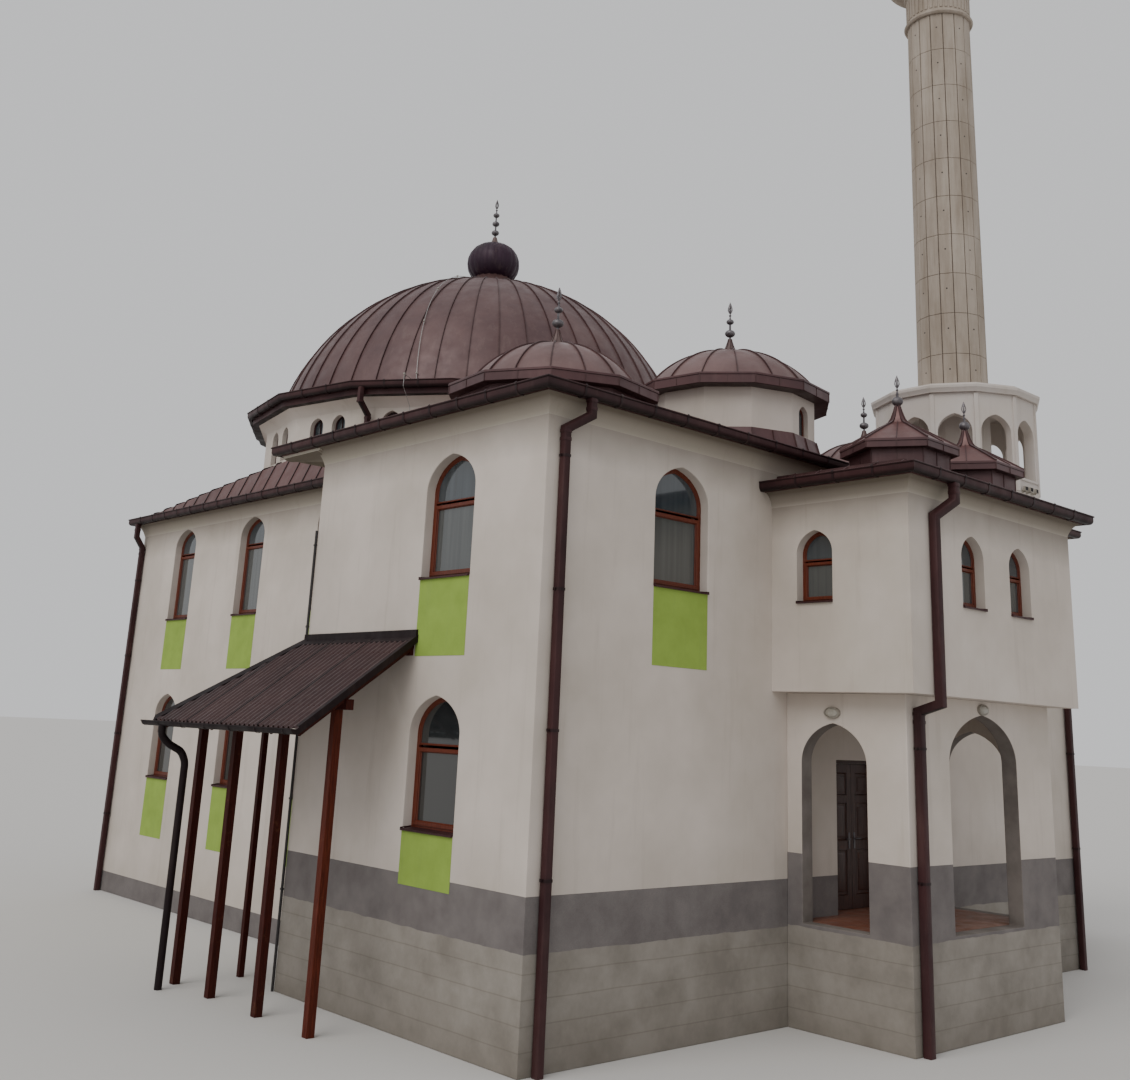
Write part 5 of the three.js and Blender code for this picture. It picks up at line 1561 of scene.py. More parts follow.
def makeBaseSheets():
    b, side, middle = baseMake, baseMake["side"], baseMake["middle"]
    sheet, joints = Form(), Form()
    for _, kind, (x, y, _) in smallDomes:
        size = b[kind]

        def ring(radius, centre=(x, y), size=size):
            return polygon(size["sides"], radius, size["turn"], centre)
        rows = fasciaRows(size["fascia"], b["inner"], size["eave"], size["rim"])
        sheet.skin([atHeight(ring(radius), z) for radius, z in rows], closed=True)
        # folded seams at each corner and in the middle of each side
        joint = rectangle(0.009, size["eave"] - 0.004, size["rim"] - 0.038)
        for angle, share, _ in cornersAndMiddles(size["sides"], size["turn"]):
            joints.plate(joint, facetPlace(angle, size["fascia"] * share, (x, y)), -0.005, 0.02)
        if kind == "side":
            sheet.skin([atHeight(ring(size["body"]), z) for z in (b["foot"] - 0.06, side["eave"] + 0.02)])
    # a sloped collar of sheet where the middle drum meets the roof
    x, y = 0, site["smallDome"][1]
    (wide, foot), (slim, head) = b["collar"]
    inner = middle["body"] - 0.05
    collar = [(wide, foot), (slim, head), (slim - 0.006, head + 0.016), (inner, head + 0.016), (inner, foot)]
    sides, turn = middle["sides"], middle["turn"]
    sheet.skin([atHeight(polygon(sides, radius, turn, (x, y)), z) for radius, z in collar], closed=True)
    for angle, share, _ in cornersAndMiddles(sides, turn):
        out = outwards(angle)
        across = leftOf(out) * 0.009
        rings = []
        for radius, z in b["collar"]:
            p = Vector((x, y, z)) + out * radius * share
            rings.append([p - across - out * 0.01, p + across - out * 0.01, p + across + out * 0.022,
                          p - across + out * 0.022])
        joints.skin(rings)
    sheet.piece("smallDomeBases", "fascia", smooth=20, replaces=nodeFinishes["fascia"][:3])
    joints.piece("smallDomeBaseJoints", "seam", smooth=20)


def makeMiddleDrum():
    b, middle, window = baseMake, baseMake["middle"], baseMake["window"]
    centre = (0, site["smallDome"][1])
    wall, holes, frames, panes = Form(), Form(), Form(), Form()
    radii = (middle["body"], 1.35)
    outer, inner = (polygon(middle["sides"], radius, middle["turn"], centre) for radius in radii)
    ringInto(wall, outer, inner, b["foot"], middle["eave"])
    spring, apex = b["sill"] + window["spring"], b["sill"] + window["apex"]

    def loop(inset):
        return archLoop(window["half"], b["sill"], spring, apex, inset, 10)

    for degrees in b["windows"]:
        facet = middle["body"] * math.cos(math.pi / middle["sides"])
        place = facetPlace(math.radians(degrees), facet, centre)
        archHole(holes, place, sill=b["sill"], near=-0.3, far=0.5, **window)
        frames.trim(loop, b["windowFrame"], place)
        panes.plate(loop(0.02), place, 0.112, 0.118)
    carved("middleDrumWall", wall, holes, "wall", ["middle_drum_wall"], 0.006)
    frames.piece("middleDrumFrames", "window", smooth=30)
    panes.piece("middleDrumPanes", "archPane", smooth=30, replaces=["middle_drum_glazing"])


def makeSmallBases():
    makeBaseSheets()
    makeMiddleDrum()


turretMake = {
    "x": 1.01, "y": -1.575, "sides": 6, "body": 0.76, "fascia": 0.9, "foot": 7.9003, "eave": 8.26,
    "rim": 8.39,
    "roof": [
        (0.9, 0.0), (0.68, 0.125), (0.45, 0.25), (0.29, 0.335), (0.2, 0.378), (0.148, 0.412), (0.11, 0.47),
        (0.083, 0.54), (0.06, 0.61), (0.046, 0.66), (0.04, 0.69),
    ],
    "inner": 0.7, "stem": 0.69, "roll": (0.014, 0.022), "fold": (0.005, 0.016),
}


def makeTurrets():
    t = turretMake
    foot, eave, rim = t["foot"], t["eave"], t["rim"]
    walls, roofs, rolls, stems = Form(), Form(), Form(), Form()
    body = [
        (t["body"] + 0.03, foot), (t["body"] + 0.03, foot + 0.05), (t["body"], foot + 0.055),
        (t["body"], eave + 0.02),
    ]
    for x in (-t["x"], t["x"]):
        centre = (x, t["y"])

        def ring(radius, z, centre=centre):
            return atHeight(polygon(t["sides"], radius, 0, centre), z)
        walls.skin([ring(*row) for row in body])
        walls.skin([ring(*row) for row in fasciaRows(t["fascia"], t["inner"], eave, rim)], closed=True)
        roofs.skin([ring(radius, rim + rise) for radius, rise in t["roof"]])
        # a roll on each corner of the roof and a flat fold up the middle of each side
        for angle, share, corner in cornersAndMiddles(t["sides"]):
            onBody = facetPlace(angle, t["body"] * share, centre)
            onFascia = facetPlace(angle, t["fascia"] * share, centre)
            rolls.plate(rectangle(0.008, foot + 0.05, eave - 0.01), onBody, -0.008, 0.02)
            rolls.plate(rectangle(0.008, eave, rim - 0.036), onFascia, -0.006, 0.02)
            half, lift = t["roll"] if corner else t["fold"]
            out = outwards(angle)
            side, top = leftOf(out) * half, upBy(lift) + out * lift * 0.4
            rings = []
            for radius, rise in t["roof"] if corner else t["roof"][:6]:
                p = Vector((*centre, rim + rise)) + out * radius * share
                rings.append([p - side - upBy(0.01), p + side - upBy(0.01), p + side + top, p - side + top])
            rolls.skin(rings)
        base = rim + t["stem"]
        stem = [(0.04, base), (0.034, base + 0.01)] + ballRows(base + 0.085, 0.09, 0.85)
        stems.lathe(stem + [(0.022, base + 0.17), (0.018, base + 0.2)], (*centre, 0), 20)
        finialInto(stems, (*centre, base), 0.15, 0.52, [(0.2, 0.026)], 12)
    walls.piece("turretWalls", "fascia", smooth=20, replaces=["porch_turret_left", "porch_turret_right"])
    roofs.piece("turretRoofs", "roof", smooth=20)
    rolls.piece("turretSeams", "seam", smooth=20)
    stems.piece("turretFinials", "alem", smooth=50)


# The canopy: ribbed sheet on a timber frame, wrapped round the front block's rear corner

canopyMake = {
    "wall": -7.1003, "hall": -5.1403, "low": -8.85, "front": 2.415, "ridge": 5.3653, "back": 6.725,
    "high": 5.09, "foot": 3.8, "pitch": 0.13125, "rib": 0.027, "thick": 0.004, "sheet": 1.05,
    "posts": (2.745, 4.075, 5.425, 6.535), "row": -8.1, "postHalf": 0.06, "beamDeep": 0.14, "under": 0.045,
    "rafters": (2.505, 3.225, 4.075, 4.925, 5.3), "rearRafters": (-7.0, -6.1, -5.2), "rafterDeep": 0.125,
    "battens": (-8.73, -8.45, -7.75, -7.4), "gutterMiddle": -8.9203, "gutterRadius": 0.07,
    "gutterLevel": 3.77, "pipeRadius": 0.056,
    # the downpipe's way out of the gutter, across and down
    "pipe": [(0, -0.05), (0, -0.2), (0.12, -0.32), (0.35, -0.43), (0.43, -0.58), (0.43, -0.9), (0.43, -3.77)],
}
canopyTrims = {
    "flashing": [
        (0.0, 0.1), (-0.028, 0.1), (-0.036, 0.092), (-0.038, 0.0), (-0.115, -0.055), (-0.115, -0.08),
        (-0.109, -0.08), (-0.109, -0.06), (-0.034, -0.012), (0.0, -0.012),
    ],
    "hipCap": [
        (-0.11, -0.05), (-0.03, 0.004), (0.0, 0.026), (0.03, 0.004), (0.11, -0.05), (0.11, -0.056),
        (0.0, 0.016), (-0.11, -0.056),
    ],
    "verge": [
        (-0.035, -0.075), (-0.035, 0.034), (0.034, 0.038), (0.034, 0.032), (-0.029, 0.028), (-0.029, -0.075),
    ],
    "upstand": [(0.0, 0.1), (0.01, 0.1), (0.012, 0.035), (0.1, 0.03), (0.1, 0.024), (0.0, 0.024)],
    "lap": [(-0.018, 0.0), (0.018, 0.0), (0.018, 0.034), (-0.018, 0.034)],
    "hip": [(-0.04, -0.15), (0.04, -0.15), (0.04, -0.01), (-0.04, -0.01)],
}


def ribColumns(start, end):
    # places along the eave and their lift: flat, rise, crest, fall
    c = canopyMake
    columns, at = [], start
    while at < end - 0.001:
        for share, lift in ((0.0, 0), (0.5, 0), (0.64, 1), (0.86, 1)):
            spot = at + share * c["pitch"]
            if spot < end:
                columns.append((spot, lift * c["rib"]))
        at += c["pitch"]
    return columns + [(end, 0)]


def canopySlopes():
    # height of the side slope at x, of the rear slope at y, and where the hip runs
    c = canopyMake
    fall = (c["high"] - c["foot"]) / (c["wall"] - c["low"])
    backFall = (c["high"] - c["foot"]) / (c["back"] - c["ridge"])
    reach = (c["low"] - c["wall"]) / (c["back"] - c["ridge"])

    def sideAt(x):
        return c["high"] - fall * (c["wall"] - x)

    def rearAt(y):
        return c["high"] - backFall * (y - c["ridge"])

    def hipX(y):
        return c["wall"] + reach * (y - c["ridge"])

    def hipY(x):
        return c["ridge"] + (x - c["wall"]) / reach
    return sideAt, rearAt, hipX, hipY


def canopySheets(sideAt, rearAt, hipX, hipY):
    c = canopyMake
    thick, low, back = c["thick"], c["low"] - 0.03, c["back"] + 0.03
    sheet = Form()
    rings = []
    for y, lift in ribColumns(c["front"], c["back"] - 0.02):
        top = c["wall"] if y <= c["ridge"] else hipX(y)
        edge = [(low, sideAt(low) + lift), (top, sideAt(top) + lift)]
        rings.append([(x, y, z) for x, z in edge] + [(x, y, z - thick) for x, z in reversed(edge)])
    sheet.skin(rings)
    rings = []
    for x, lift in ribColumns(c["low"] + 0.02, c["hall"]):
        top = c["ridge"] if x >= c["wall"] else hipY(x)
        edge = [(back, rearAt(back) + lift), (top, rearAt(top) + lift)]
        rings.append([(x, y, z) for y, z in edge] + [(x, y, z - thick) for y, z in reversed(edge)])
    sheet.skin(rings)
    sheet.piece("canopySheet", "canopy", smooth=20, replaces=["canopy_roof"])


def canopyTrimPieces(sideAt, rearAt, hipX):
    c, t = canopyMake, canopyTrims
    wall, high = c["wall"], c["high"]
    trims = Form()
    ends = (c["front"] - 0.02, c["ridge"] + 0.04)
    trims.skin([[(wall + u, y, high + v) for u, v in t["flashing"]] for y in ends])
    trims.skin([[(x, c["ridge"] - u, high + v) for u, v in t["flashing"]] for x in (wall - 0.04, c["hall"])])
    a, b = Vector((wall, c["ridge"], high + 0.03)), Vector((c["low"], c["back"], c["foot"] + 0.03))
    along = (b - a).normalized()
    side = leftOf(along).normalized()
    trims.skin([[p + side * u + upBy(v) for u, v in t["hipCap"]] for p in (a, b)])
    low = c["low"] - 0.03
    trims.skin([[(x, c["front"] + u, sideAt(x) + v) for u, v in t["verge"]] for x in (wall, low)])
    ends = (c["ridge"], c["back"] + 0.03)
    trims.skin([[(c["hall"] - u, y, rearAt(y) + v) for u, v in t["upstand"]] for y in ends])
    # the laps where one ribbed sheet lies over the next
    for i in (1, 2, 3):
        y = c["front"] + i * c["sheet"]
        top = wall if y <= c["ridge"] else hipX(y)
        trims.skin([[(x, y + u, sideAt(x) + v) for u, v in t["lap"]] for x in (top - 0.04, low)])
    trims.piece("canopyTrims", "canopyDark", smooth=20)
    return side


def canopyTimber(sideAt, rearAt, hipX, side):
    c = canopyMake
    wall, hall, ridge, row, front = c["wall"], c["hall"], c["ridge"], c["row"], c["front"]
    under, half, deep, beam = c["under"], c["postHalf"], c["rafterDeep"], c["beamDeep"]
    rearPost = c["posts"][-1]
    beamTop = sideAt(row) - under - deep
    rearTop = rearAt(rearPost + 0.05) - under
    near, frame = Form(), Form()
    for y in c["posts"]:
        form = near if y == c["posts"][0] else frame
        top = beamTop - beam if y < rearPost else rearTop - 0.15
        form.box((row - half, row + half), (y - half, y + half), (0, top))
    frame.box((wall + 0.035, wall + 0.125), (rearPost - 0.045, rearPost + 0.045), (0, rearTop - 0.15))
    frame.box((row - half, row + half), (front + 0.02, 6.2), (beamTop - beam, beamTop))
    run, thick = (hipX(rearPost) - 0.02, hall), (rearPost - 0.05, rearPost + 0.05)
    frame.box(run, thick, (rearTop - 0.15, rearTop - 0.005))
    foot, end = c["low"] + 0.05, c["back"] - 0.05
    for y in c["rafters"]:
        rail = [(foot, 0), (wall, 0), (wall, -deep), (foot, 0.015 - deep)]
        frame.skin([[(x, y + shift, sideAt(x) - under + v) for x, v in rail] for shift in (-0.035, 0.035)])
    for x in c["rearRafters"]:
        rail = [(ridge, 0), (end, 0), (end, 0.025 - deep), (ridge, -deep)]
        frame.skin([[(x + shift, y, rearAt(y) - under + v) for y, v in rail] for shift in (-0.035, 0.035)])
    a, b = Vector((wall, ridge, c["high"] - 0.05)), Vector((c["low"] + 0.06, end, c["foot"] - 0.05))
    frame.skin([[p + side * u + upBy(v) for u, v in canopyTrims["hip"]] for p in (a, b)])
    for x in c["battens"]:
        level = sideAt(x) - under
        frame.box((x - 0.025, x + 0.025), (front + 0.03, ridge), (level - 0.01, level + 0.035))
    ledger = sideAt(wall - half) - under
    frame.box((wall - half, wall), (front + 0.06, ridge - 0.02), (ledger - 0.17, ledger - 0.01))
    # painted light: the near post takes the lit copy of the timber, the rest of the frame the copy in painted
    # shade
    frame.piece("canopyFrame", "postShaded", bevel=0.006, smooth=20, replaces=["canopy_frame"])
    near.piece("canopyNearPost", "postLit", bevel=0.006, smooth=20)


def canopyGutter():
    c = canopyMake
    middle, radius, level = c["gutterMiddle"], c["gutterRadius"], c["gutterLevel"]

    def arc(reach, steps, start=math.pi, turn=math.pi):
        angles = [start + turn * i / steps for i in range(steps + 1)]
        return [(middle + reach * math.cos(a), level + reach * math.sin(a)) for a in angles]
    gutter = Form()
    outer = arc(radius, 12)
    bead = [(middle - radius - 0.014, level + 0.008), (middle - radius - 0.014, level - 0.008)]
    profile = outer + arc(radius - 0.006, 12, math.tau, -math.pi) + bead
    ends = (c["front"] - 0.03, c["back"] + 0.16)
    gutter.skin([[(x, y, z) for x, z in profile] for y in ends])
    for y in ends:
        gutter.skin([[(x, y + shift, z) for x, z in outer] for shift in (-0.004, 0.004)])
    path = smoothPath([(middle + across, c["back"] - 0.46, level + rise) for across, rise in c["pipe"]])
    gutter.pipe(path, polygon(16, c["pipeRadius"]))
    gutter.piece("canopyGutterTrough", "canopyDark", smooth=40, replaces=["canopy_gutter"])
    hook = Form()
    bracket = [(middle + radius + 0.004, level + 0.01)] + arc(radius + 0.005, 10, math.tau, -math.pi)
    thick = [(x, z - 0.005) for x, z in reversed(bracket)]
    y = c["front"] + 0.2
    hook.skin([[(x, y + shift, z) for x, z in bracket + thick] for shift in (-0.012, 0.012)])
    repeated("canopyGutterHooks", hook, "fold", 6, step=(0, 0.74, 0), smooth=40)


def makeCanopy():
    sideAt, rearAt, hipX, hipY = canopySlopes()
    canopySheets(sideAt, rearAt, hipX, hipY)
    side = canopyTrimPieces(sideAt, rearAt, hipX)
    canopyTimber(sideAt, rearAt, hipX, side)
    canopyGutter()


def smoothPath(points, steps=6):
    # rounds each inner corner of a path
    points = [Vector(p) for p in points]
    path = [points[0]]
    for before, at, after in zip(points, points[1:], points[2:]):
        reach = min((at - before).length, (after - at).length) * 0.4
        start, end = at + (before - at).normalized() * reach, at + (after - at).normalized() * reach
        for i in range(steps + 1):
            t = i / steps
            path.append(start * (1 - t) ** 2 + at * 2 * t * (1 - t) + end * t * t)
    return path + [points[-1]]


# The minaret

minaretMake = {
    "middle": (9.55, 3.505), "sides": 12, "radius": 1.91, "turn": 0.5, "thick": 0.25, "top": 12.0,
    "arch": {"half": 0.385, "spring": 1.01, "apex": 1.44}, "sill": 10.05, "pilaster": (0.05, 9.72, 11.97),
    "slab": 12.0003,
    "slabRows": [
        (1.99, 0), (2.0, 0.03), (2.045, 0.1), (2.05, 0.16), (2.035, 0.175), (1.96, 0.18), (1.955, 0.222),
        (0.6, 0.224), (0.6, 0),
    ],
}
shaftMake = {
    "sides": 16, "turn": 2 / 3, "foot": 12.2253, "head": 22.78, "wide": 0.85, "narrow": 0.815,
    "course": 1.058, "joint": 0.009, "bed": 0.0028, "hole": 0.02,
    "panelRows": ((0.0, 0.24), (0.0, 0.012), (0.01, 0.0)),
}
balconyMake = {
    "foot": 22.7803,
    "rings": [
        (0.56, 0.0), (0.86, 0.0), (0.885, 0.02), (0.9, 0.05), (0.885, 0.08), (0.86, 0.1), (0.83, 0.12),
        (0.815, 0.16), (0.815, 0.86), (0.83, 0.9), (0.87, 0.92), (0.885, 0.96), (0.87, 1.0), (0.84, 1.02),
    ],
    "steps": [
        (0.92, 1.03), (0.93, 1.13), (1.02, 1.15), (1.04, 1.25), (1.14, 1.27), (1.16, 1.36), (1.25, 1.38),
        (1.33, 1.42),
    ],
    "parapet": [
        (1.33, 1.47), (1.3, 1.49), (1.3, 2.36), (1.345, 2.38), (1.345, 2.45), (1.31, 2.47), (1.2, 2.47),
        (1.2, 2.38), (1.24, 2.36), (1.24, 1.47), (0.56, 1.47),
    ],
    "corbels": (("balconyCorbelsLow", 1.0, 1.03, 1.26, 24), ("balconyCorbelsHigh", 1.2, 1.26, 1.42, 32)),
    "corbelRows": ((0.0, 0.03, 0.12), (0.4, 0.045, 0.06), (1.0, 0.06, 0.0)),
    "panelRows": [(0.0, 0.02), (0.0, -0.034), (0.03, -0.034), (0.04, -0.02), (0.04, 0.02)], "flutes": 40,
    "panels": 16, "parapetRadius": 1.3, "neck": 0.815,
}
spireMake = {
    "deck": 24.2506,
    "upperRings": [
        (0.5, 0), (0.7, 0), (0.7, 0.12), (0.64, 0.15), (0.64, 3.2), (0.68, 3.24), (0.69, 3.3), (0.66, 3.34),
        (0.7, 3.42), (0.78, 3.52), (0.8, 3.649), (0.5, 3.649),
    ],
    "foot": 27.9003, "eave": [(0.0, 0.0), (0.86, 0.0), (0.87, 0.03), (0.86, 0.12), (0.8, 0.19), (0.78, 0.24)],
    "low": 0.24, "rise": 4.76, "wide": 0.78, "taper": 0.72, "hollow": 0.04, "seams": 16, "finial": 4.98,
    "balls": [(0.26, 0.11), (0.52, 0.095), (0.75, 0.08)],
}


def roundMinaret(name, form, finish, count, bevel=0.0):
    axis = (*minaretMake["middle"], 0)
    repeated(name, form, finish, count, turn=math.tau / count, axis=axis, bevel=bevel, smooth=20)


def makeTower():
    m = minaretMake
    middle, sides = m["middle"], m["sides"]
    facet = m["radius"] * math.cos(math.pi / sides)
    tower, holes, strip, sill, slab = Form(), Form(), Form(), Form(), Form()

    def ring(radius):
        return polygon(sides, radius, m["turn"], middle)
    ringInto(tower, ring(m["radius"]), ring(m["radius"] - m["thick"]), 0, m["top"])
    for i in range(sides):
        place = facetPlace(i * math.tau / sides, facet, middle)
        archHole(holes, place, sill=m["sill"], near=-0.3, far=0.6, **m["arch"])
    carved("minaretTower", tower, holes, "arcade", ["minaret_tower"], 0.01)
    corner = facetPlace(math.pi / sides, m["radius"], middle)
    strip.plate(rectangle(*m["pilaster"]), corner, -0.022, 0.1)
    roundMinaret("minaretPilasters", strip, "arcade", sides, 0.006)
    ledge = rectangle(0.42, m["sill"] - 0.05, m["sill"] + 0.008)
    sill.plate(ledge, facetPlace(0, facet, middle), -0.03, 0.27)
    roundMinaret("minaretArchSills", sill, "arcade", sides, 0.006)
    slab.skin([atHeight(ring(radius), m["slab"] + rise) for radius, rise in m["slabRows"]], closed=True)
    slab.piece("minaretSlab", "arcade", smooth=20, replaces=["minaret_slab"])


def shaftRadius(z):
    s = shaftMake
    return s["wide"] + (s["narrow"] - s["wide"]) * (z - s["foot"]) / (s["head"] - s["foot"])


def makeShaft():
    s, middle = shaftMake, minaretMake["middle"]
    sides, foot, head, bed = s["sides"], s["foot"], s["head"], s["bed"]
    share = math.cos(math.pi / sides)
    angle = (s["turn"] + 0.5) * math.tau / sides
    courses = round((head - foot) / s["course"])
    rise = (head - foot) / courses
    panel, core, holes = Form(), Form(), Form()
    for i in range(courses):
        low, high = foot + i * rise + (bed if i else 0), foot + (i + 1) * rise - bed
        rings = []
        for inset, back in s["panelRows"]:
            ring = []
            corners = ((low, -1), (low, 1), (high, 1), (high, -1))
            for end, way in corners:
                z = end + (inset / 2 if end == low else -inset / 2)
                radius = shaftRadius(z)
                half = radius * math.sin(math.pi / sides) - s["joint"] - inset
                half -= back * math.tan(math.pi / sides)
                ring.append(facetPlace(angle, radius * share, middle)(way * half, z, back))
            rings.append(ring)
        panel.skin(rings)
        z = foot + (i + 0.62) * rise
        outline = [(u, z + v) for u, v in polygon(10, s["hole"])]
        holes.plate(outline, facetPlace(angle, shaftRadius(z) * share, middle), -0.0015, 0.02)
    roundMinaret("minaretPanels", panel, "stone", sides)
    core.skin([atHeight(polygon(sides, shaftRadius(z) - 0.016, s["turn"], middle), z) for z in (foot, head)])
    core.piece("minaretCoreJoints", "joint", smooth=20, replaces=["minaret_shaft"])
    # dark discs stand in for the holes: painted shade
    roundMinaret("minaretHoles", holes, "dark", sides // 2)


def makeBalcony():
    b, middle = balconyMake, minaretMake["middle"]
    z = b["foot"]
    lower, flute, panel = Form(), Form(), Form()
    profile = b["rings"] + b["steps"] + b["parapet"]
    lower.lathe([(radius, z + rise) for radius, rise in profile], (*middle, 0), 64)
    lower.piece("balconyRings", "stone", smooth=30, replaces=["minaret_balcony"])
    outline = archLoop(0.038, z + 0.2, z + 0.72, z + 0.8, 0, 6)
    flute.plate(outline, facetPlace(0, b["neck"], middle), -0.018, 0.02)
    roundMinaret("balconyFlutes", flute, "stone", b["flutes"], 0.004)
    for name, radius, low, high, count in b["corbels"]:
        corbel, rings = Form(), []
        place = facetPlace(0, radius, middle)
        for share, wide, reach in b["corbelRows"]:
            level = z + low + (high - low) * share
            corners = ((-1, 0.2), (1, 0.2), (1, reach), (-1, reach))
            rings.append([place(side * wide, level, depth) for side, depth in corners])
        corbel.skin(rings)
        roundMinaret(name, corbel, "stone", count, 0.004)
    place = facetPlace(0, b["parapetRadius"] * math.cos(math.pi / b["panels"]), middle)
    panel.trim(lambda inset: rectangle(0.2, z + 1.6, z + 2.28, inset), b["panelRows"], place)
    roundMinaret("balconyPanels", panel, "stone", b["panels"])


def spireRadius(share):
    s = spireMake
    return s["wide"] - s["taper"] * share - s["hollow"] * math.sin(math.pi * share)


def makeSpire():
    s, middle = spireMake, minaretMake["middle"]
    upper, spire, rib, tip = Form(), Form(), Form(), Form()
    upper.lathe([(radius, s["deck"] + rise) for radius, rise in s["upperRings"]], (*middle, 0), 48)
    upper.piece("upperShaftRings", "stone", smooth=30, replaces=["minaret_upper_shaft"])
    shares = [i / 16 for i in range(17)]
    cone = [(spireRadius(share), s["low"] + s["rise"] * share) for share in shares[1:]]
    spire.lathe(s["eave"] + cone, (*middle, s["foot"]), 48)
    spire.piece("spireSheets", "dome", smooth=40, replaces=["minaret_spire"])
    rings = []
    for share in shares:
        p = Vector((middle[0] + spireRadius(share), middle[1], s["foot"] + s["low"] + s["rise"] * share))
        section = ((-0.01, -0.006), (0.022, -0.005), (0.022, 0.005), (-0.01, 0.006))
        rings.append([p + Vector((out, across, 0)) for out, across in section])
    rib.skin(rings)
    roundMinaret("spireSeams", rib, "seam", s["seams"])
    finialInto(tip, (*middle, s["foot"] + s["finial"]), 0.0, 1.25, s["balls"], 20)
    tip.piece("spireFinial", "alem", smooth=50)


def makeMinaret():
    makeTower()
    makeShaft()
    makeBalcony()
    makeSpire()


# The door's leaves, and the lamps

doorMake = {
    "low": 1.409, "high": 3.5837, "near": 0.003, "far": 0.7334, "front": 0.123, "back": 0.171, "stile": 0.11,
    "rails": ((1.409, 1.609), (2.3, 2.42), (3.0, 3.1), (3.4537, 3.5837)), "pin": (0.7364, 0.189),
    "barrel": 0.013, "bore": 0.0077, "knuckle": 0.06, "hinges": (1.6953, 3.2953), "strap": (0.6634, 0.7274),
    "strapRise": (0.0017, 0.0577), "grip": 2.45, "gripX": 0.07, "plate": (0.022, 2.3, 2.54),
    "bead": [(-0.002, 0.002), (0.012, -0.004), (0.022, 0.012), (0.022, 0.02), (-0.002, 0.02)],
    "raised": ((0.05, 0.014), (0.08, 0.004), (0.085, 0.003)),
}


def leafPanels(side, word, body):
    d = doorMake
    leaf = Form()
    a, b = d["near"] + d["stile"], d["far"] - d["stile"]

    def slab(u0, u1, deep, z0, z1):
        leaf.box(sorted((side * u0, side * u1)), (d["front"] + deep, d["back"] - deep), (z0, z1))

    def place(u, v, depth):
        return (side * u, depth, v)
    slab(d["near"] + 0.004, d["far"] - 0.004, 0.012, d["low"] + 0.004, d["high"] - 0.004)
    slab(d["near"], a, 0.0, d["low"], d["high"])
    slab(b, d["far"], 0.0, d["low"], d["high"])
    for low, high in d["rails"]:
        slab(a - 0.002, b + 0.002, 0.001, low, high)
    for (_, low), (high, _) in zip(d["rails"], d["rails"][1:]):
        def field(inset, low=low, high=high):
            u0, u1, v0, v1 = a + inset, b - inset, low + inset, high - inset
            return [(u0, v0), (u1, v0), (u1, v1), (u0, v1)]
        for face, inward in ((d["front"], 1), (d["back"], -1)):
            leaf.trim(field, [(inset, face + inward * depth) for inset, depth in d["bead"]], place)
            rows = [(inset, face + inward * depth) for inset, depth in d["raised"]]
            leaf.skin([[place(u, v, depth) for u, v in field(inset)] for inset, depth in rows])
    leaf.piece(word + "LeafPanels", "door", smooth=20, body=body, replaces=["door_leaf_" + word])


def leafHardware(side, word, body):
    d = doorMake
    metal = Form()
    x, y = side * d["pin"][0], d["pin"][1]
    for z in d["hinges"]:
        top = z + d["knuckle"]
        rows = [(d["bore"], z), (d["barrel"], z), (d["barrel"], top), (d["bore"], top)]
        metal.skin([atHeight(polygon(24, radius, 0, (x, y)), height) for radius, height in rows], closed=True)
        low, high = (z + rise for rise in d["strapRise"])
        metal.box(sorted(side * u for u in d["strap"]), (d["back"] - 0.001, y + 0.003), (low, high))
    half, low, high = d["plate"]
    x = side * d["gripX"]
    for y, out in ((d["front"] - 0.001, -1), (d["back"] + 0.001, 1)):
        plate = [(x + u, v) for u, v in rectangle(half, low, high)]
        metal.skin([[(u, y + out * depth, v) for u, v in plate] for depth in (-0.002, 0.005)])
        reach = y + out * 0.045
        corners = [(x, y, d["grip"]), (x, reach, d["grip"]), (x + side * 0.12, reach, d["grip"])]
        metal.pipe(smoothPath(corners, 4), polygon(10, 0.009))
    metal.piece(word + "LeafHardware", "alem", smooth=40, body=body)


def makeDoor():
    for side, word, body in ((-1, "left", leftLeaf), (1, "right", rightLeaf)):
        leafPanels(side, word, body)
        leafHardware(side, word, body)


lampMake = {
    # the wall's face, the way it looks, the lamp's place along it and its level
    "ovals": ((-2.05, (-1, 0), -1.01, 4.33), (-2.23, (0, -1), 0.0, 4.48)), "wide": 0.138, "high": 0.083,
    "shell": ((1.0, 0.0), (1.0, -0.03), (0.96, -0.042), (0.8, -0.046), (0.78, -0.03), (0.77, 0.0)),
    "glass": ((0.79, -0.02), (0.76, -0.045), (0.6, -0.062), (0.3, -0.07), (0.04, -0.072)),
    # where three small ones stand on the minaret's tower
    "angles": (-99.9, -94.2, -87.0), "reach": 1.87,
}


def makeLamps():
    m = lampMake
    shell, glass, bars = Form(), Form(), Form()
    for face, normal, along, level in m["ovals"]:
        place = wallPlace(face, normal, along)

        def oval(scale, depth, place=place, level=level):
            return [place(m["wide"] * u, level + m["high"] * v, depth) for u, v in polygon(32, scale)]
        shell.skin([oval(*row) for row in m["shell"]])
        glass.skin([oval(*row) for row in m["glass"]])
    for degrees in m["angles"]:
        place = facetPlace(math.radians(degrees), m["reach"], minaretMake["middle"])
        shell.plate(rectangle(0.06, 9.73, 9.83), place, -0.13, -0.07)
        shell.plate(rectangle(0.01, 9.7, 9.76), place, -0.09, 0.05)
        bars.plate(rectangle(0.05, 9.74, 9.82), place, -0.132, -0.12)
    shell.piece("lampShells", "lamp", smooth=30)
    glass.piece("lampGlasses", "lens", smooth=50)
    bars.piece("lampBars", "dark", smooth=30)


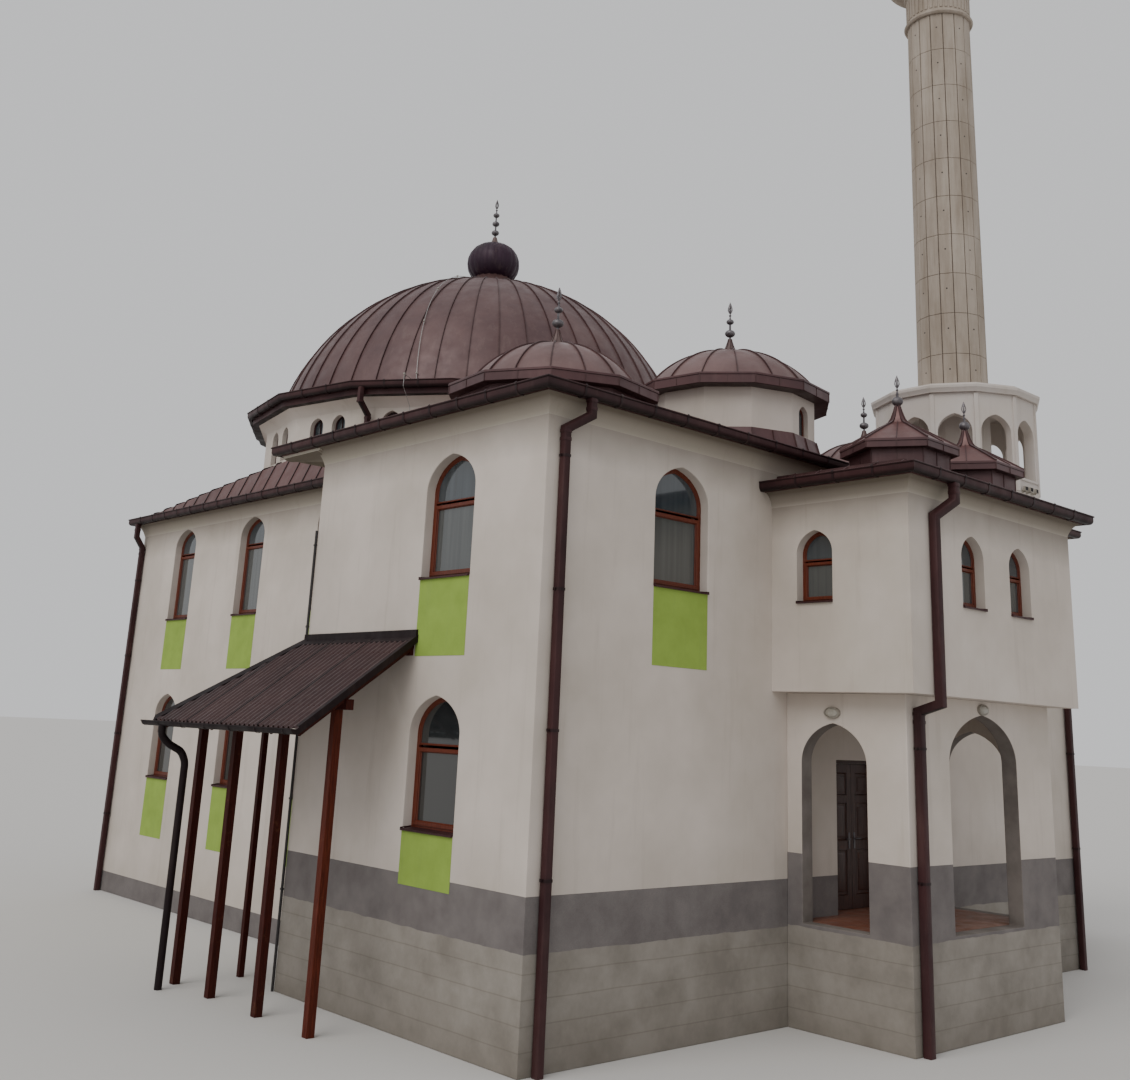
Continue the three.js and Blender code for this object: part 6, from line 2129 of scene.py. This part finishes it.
conductorMake = {
    "start": -158, "end": -145, "lift": 0.05, "wire": 0.006, "points": 41,
    "over": ((4.72, 10.5), (5.05, 10.46), (5.46, 10.44), (5.47, 10.2), (5.02, 9.9), (5.02, 9.1)),
    "insulator": [(0.008, -0.05), (0.008, -0.004), (0.022, 0.0), (0.024, 0.022), (0.01, 0.03)],
    "rod": 0.022, "rodAt": (-7.118, 5.376), "rodTop": 6.85, "clips": (6.6, 5.3, 4.0, 2.7, 1.4),
}


def makeConductor():
    # the conductor runs from the finial down the dome, over the gutter and down the drum
    d, c = domeKinds["main"], conductorMake
    ball, sweep = capAngles(d["radius"], d["rise"])
    centre = Vector(d["centre"])
    line, clips, rod = Form(), Form(), Form()
    start, end = math.radians(c["start"]), math.radians(c["end"])
    path = []
    for i in range(c["points"]):
        share = i / (c["points"] - 1)
        lean = sweep * (0.12 + 0.88 * share)
        angle = start + (end - start) * share ** 0.6
        out = outwards(angle) * math.sin(lean) + upBy(math.cos(lean))
        path.append(centre + upBy(d["rise"] - ball) + out * (ball + c["lift"]))
        if i % 10 == 8:
            clips.lathe(c["insulator"], path[-1], 12)
    for radius, z in c["over"]:
        path.append(Vector((centre.x + radius * math.cos(end), centre.y + radius * math.sin(end), z)))
    clips.lathe(c["insulator"], path[-4], 12)
    line.pipe(path, polygon(8, c["wire"]))
    line.piece("conductorLine", "wire", smooth=50)
    clips.piece("conductorClips", "lens", smooth=40)
    # a second one runs down the front block's rear corner
    x, y = c["rodAt"]
    rod.pipe([(x, y, c["rodTop"]), (x, y, 0)], polygon(10, c["rod"]))
    for z in c["clips"]:
        rod.box((x - 0.024, x + 0.024), (y - 0.024, y + 0.024), (z, z + 0.03))
    rod.piece("cornerRod", "rod", smooth=40)


for name, make in (
    ("walls", makeWalls), ("eaves", makeEaves), ("roof seams", makeRoofSeams), ("drum", makeDrum),
    ("small bases", makeSmallBases), ("turrets", makeTurrets), ("canopy", makeCanopy),
    ("minaret", makeMinaret), ("door", makeDoor), ("lamps", makeLamps), ("conductor", makeConductor),
):
    make()
    print(name, "made")
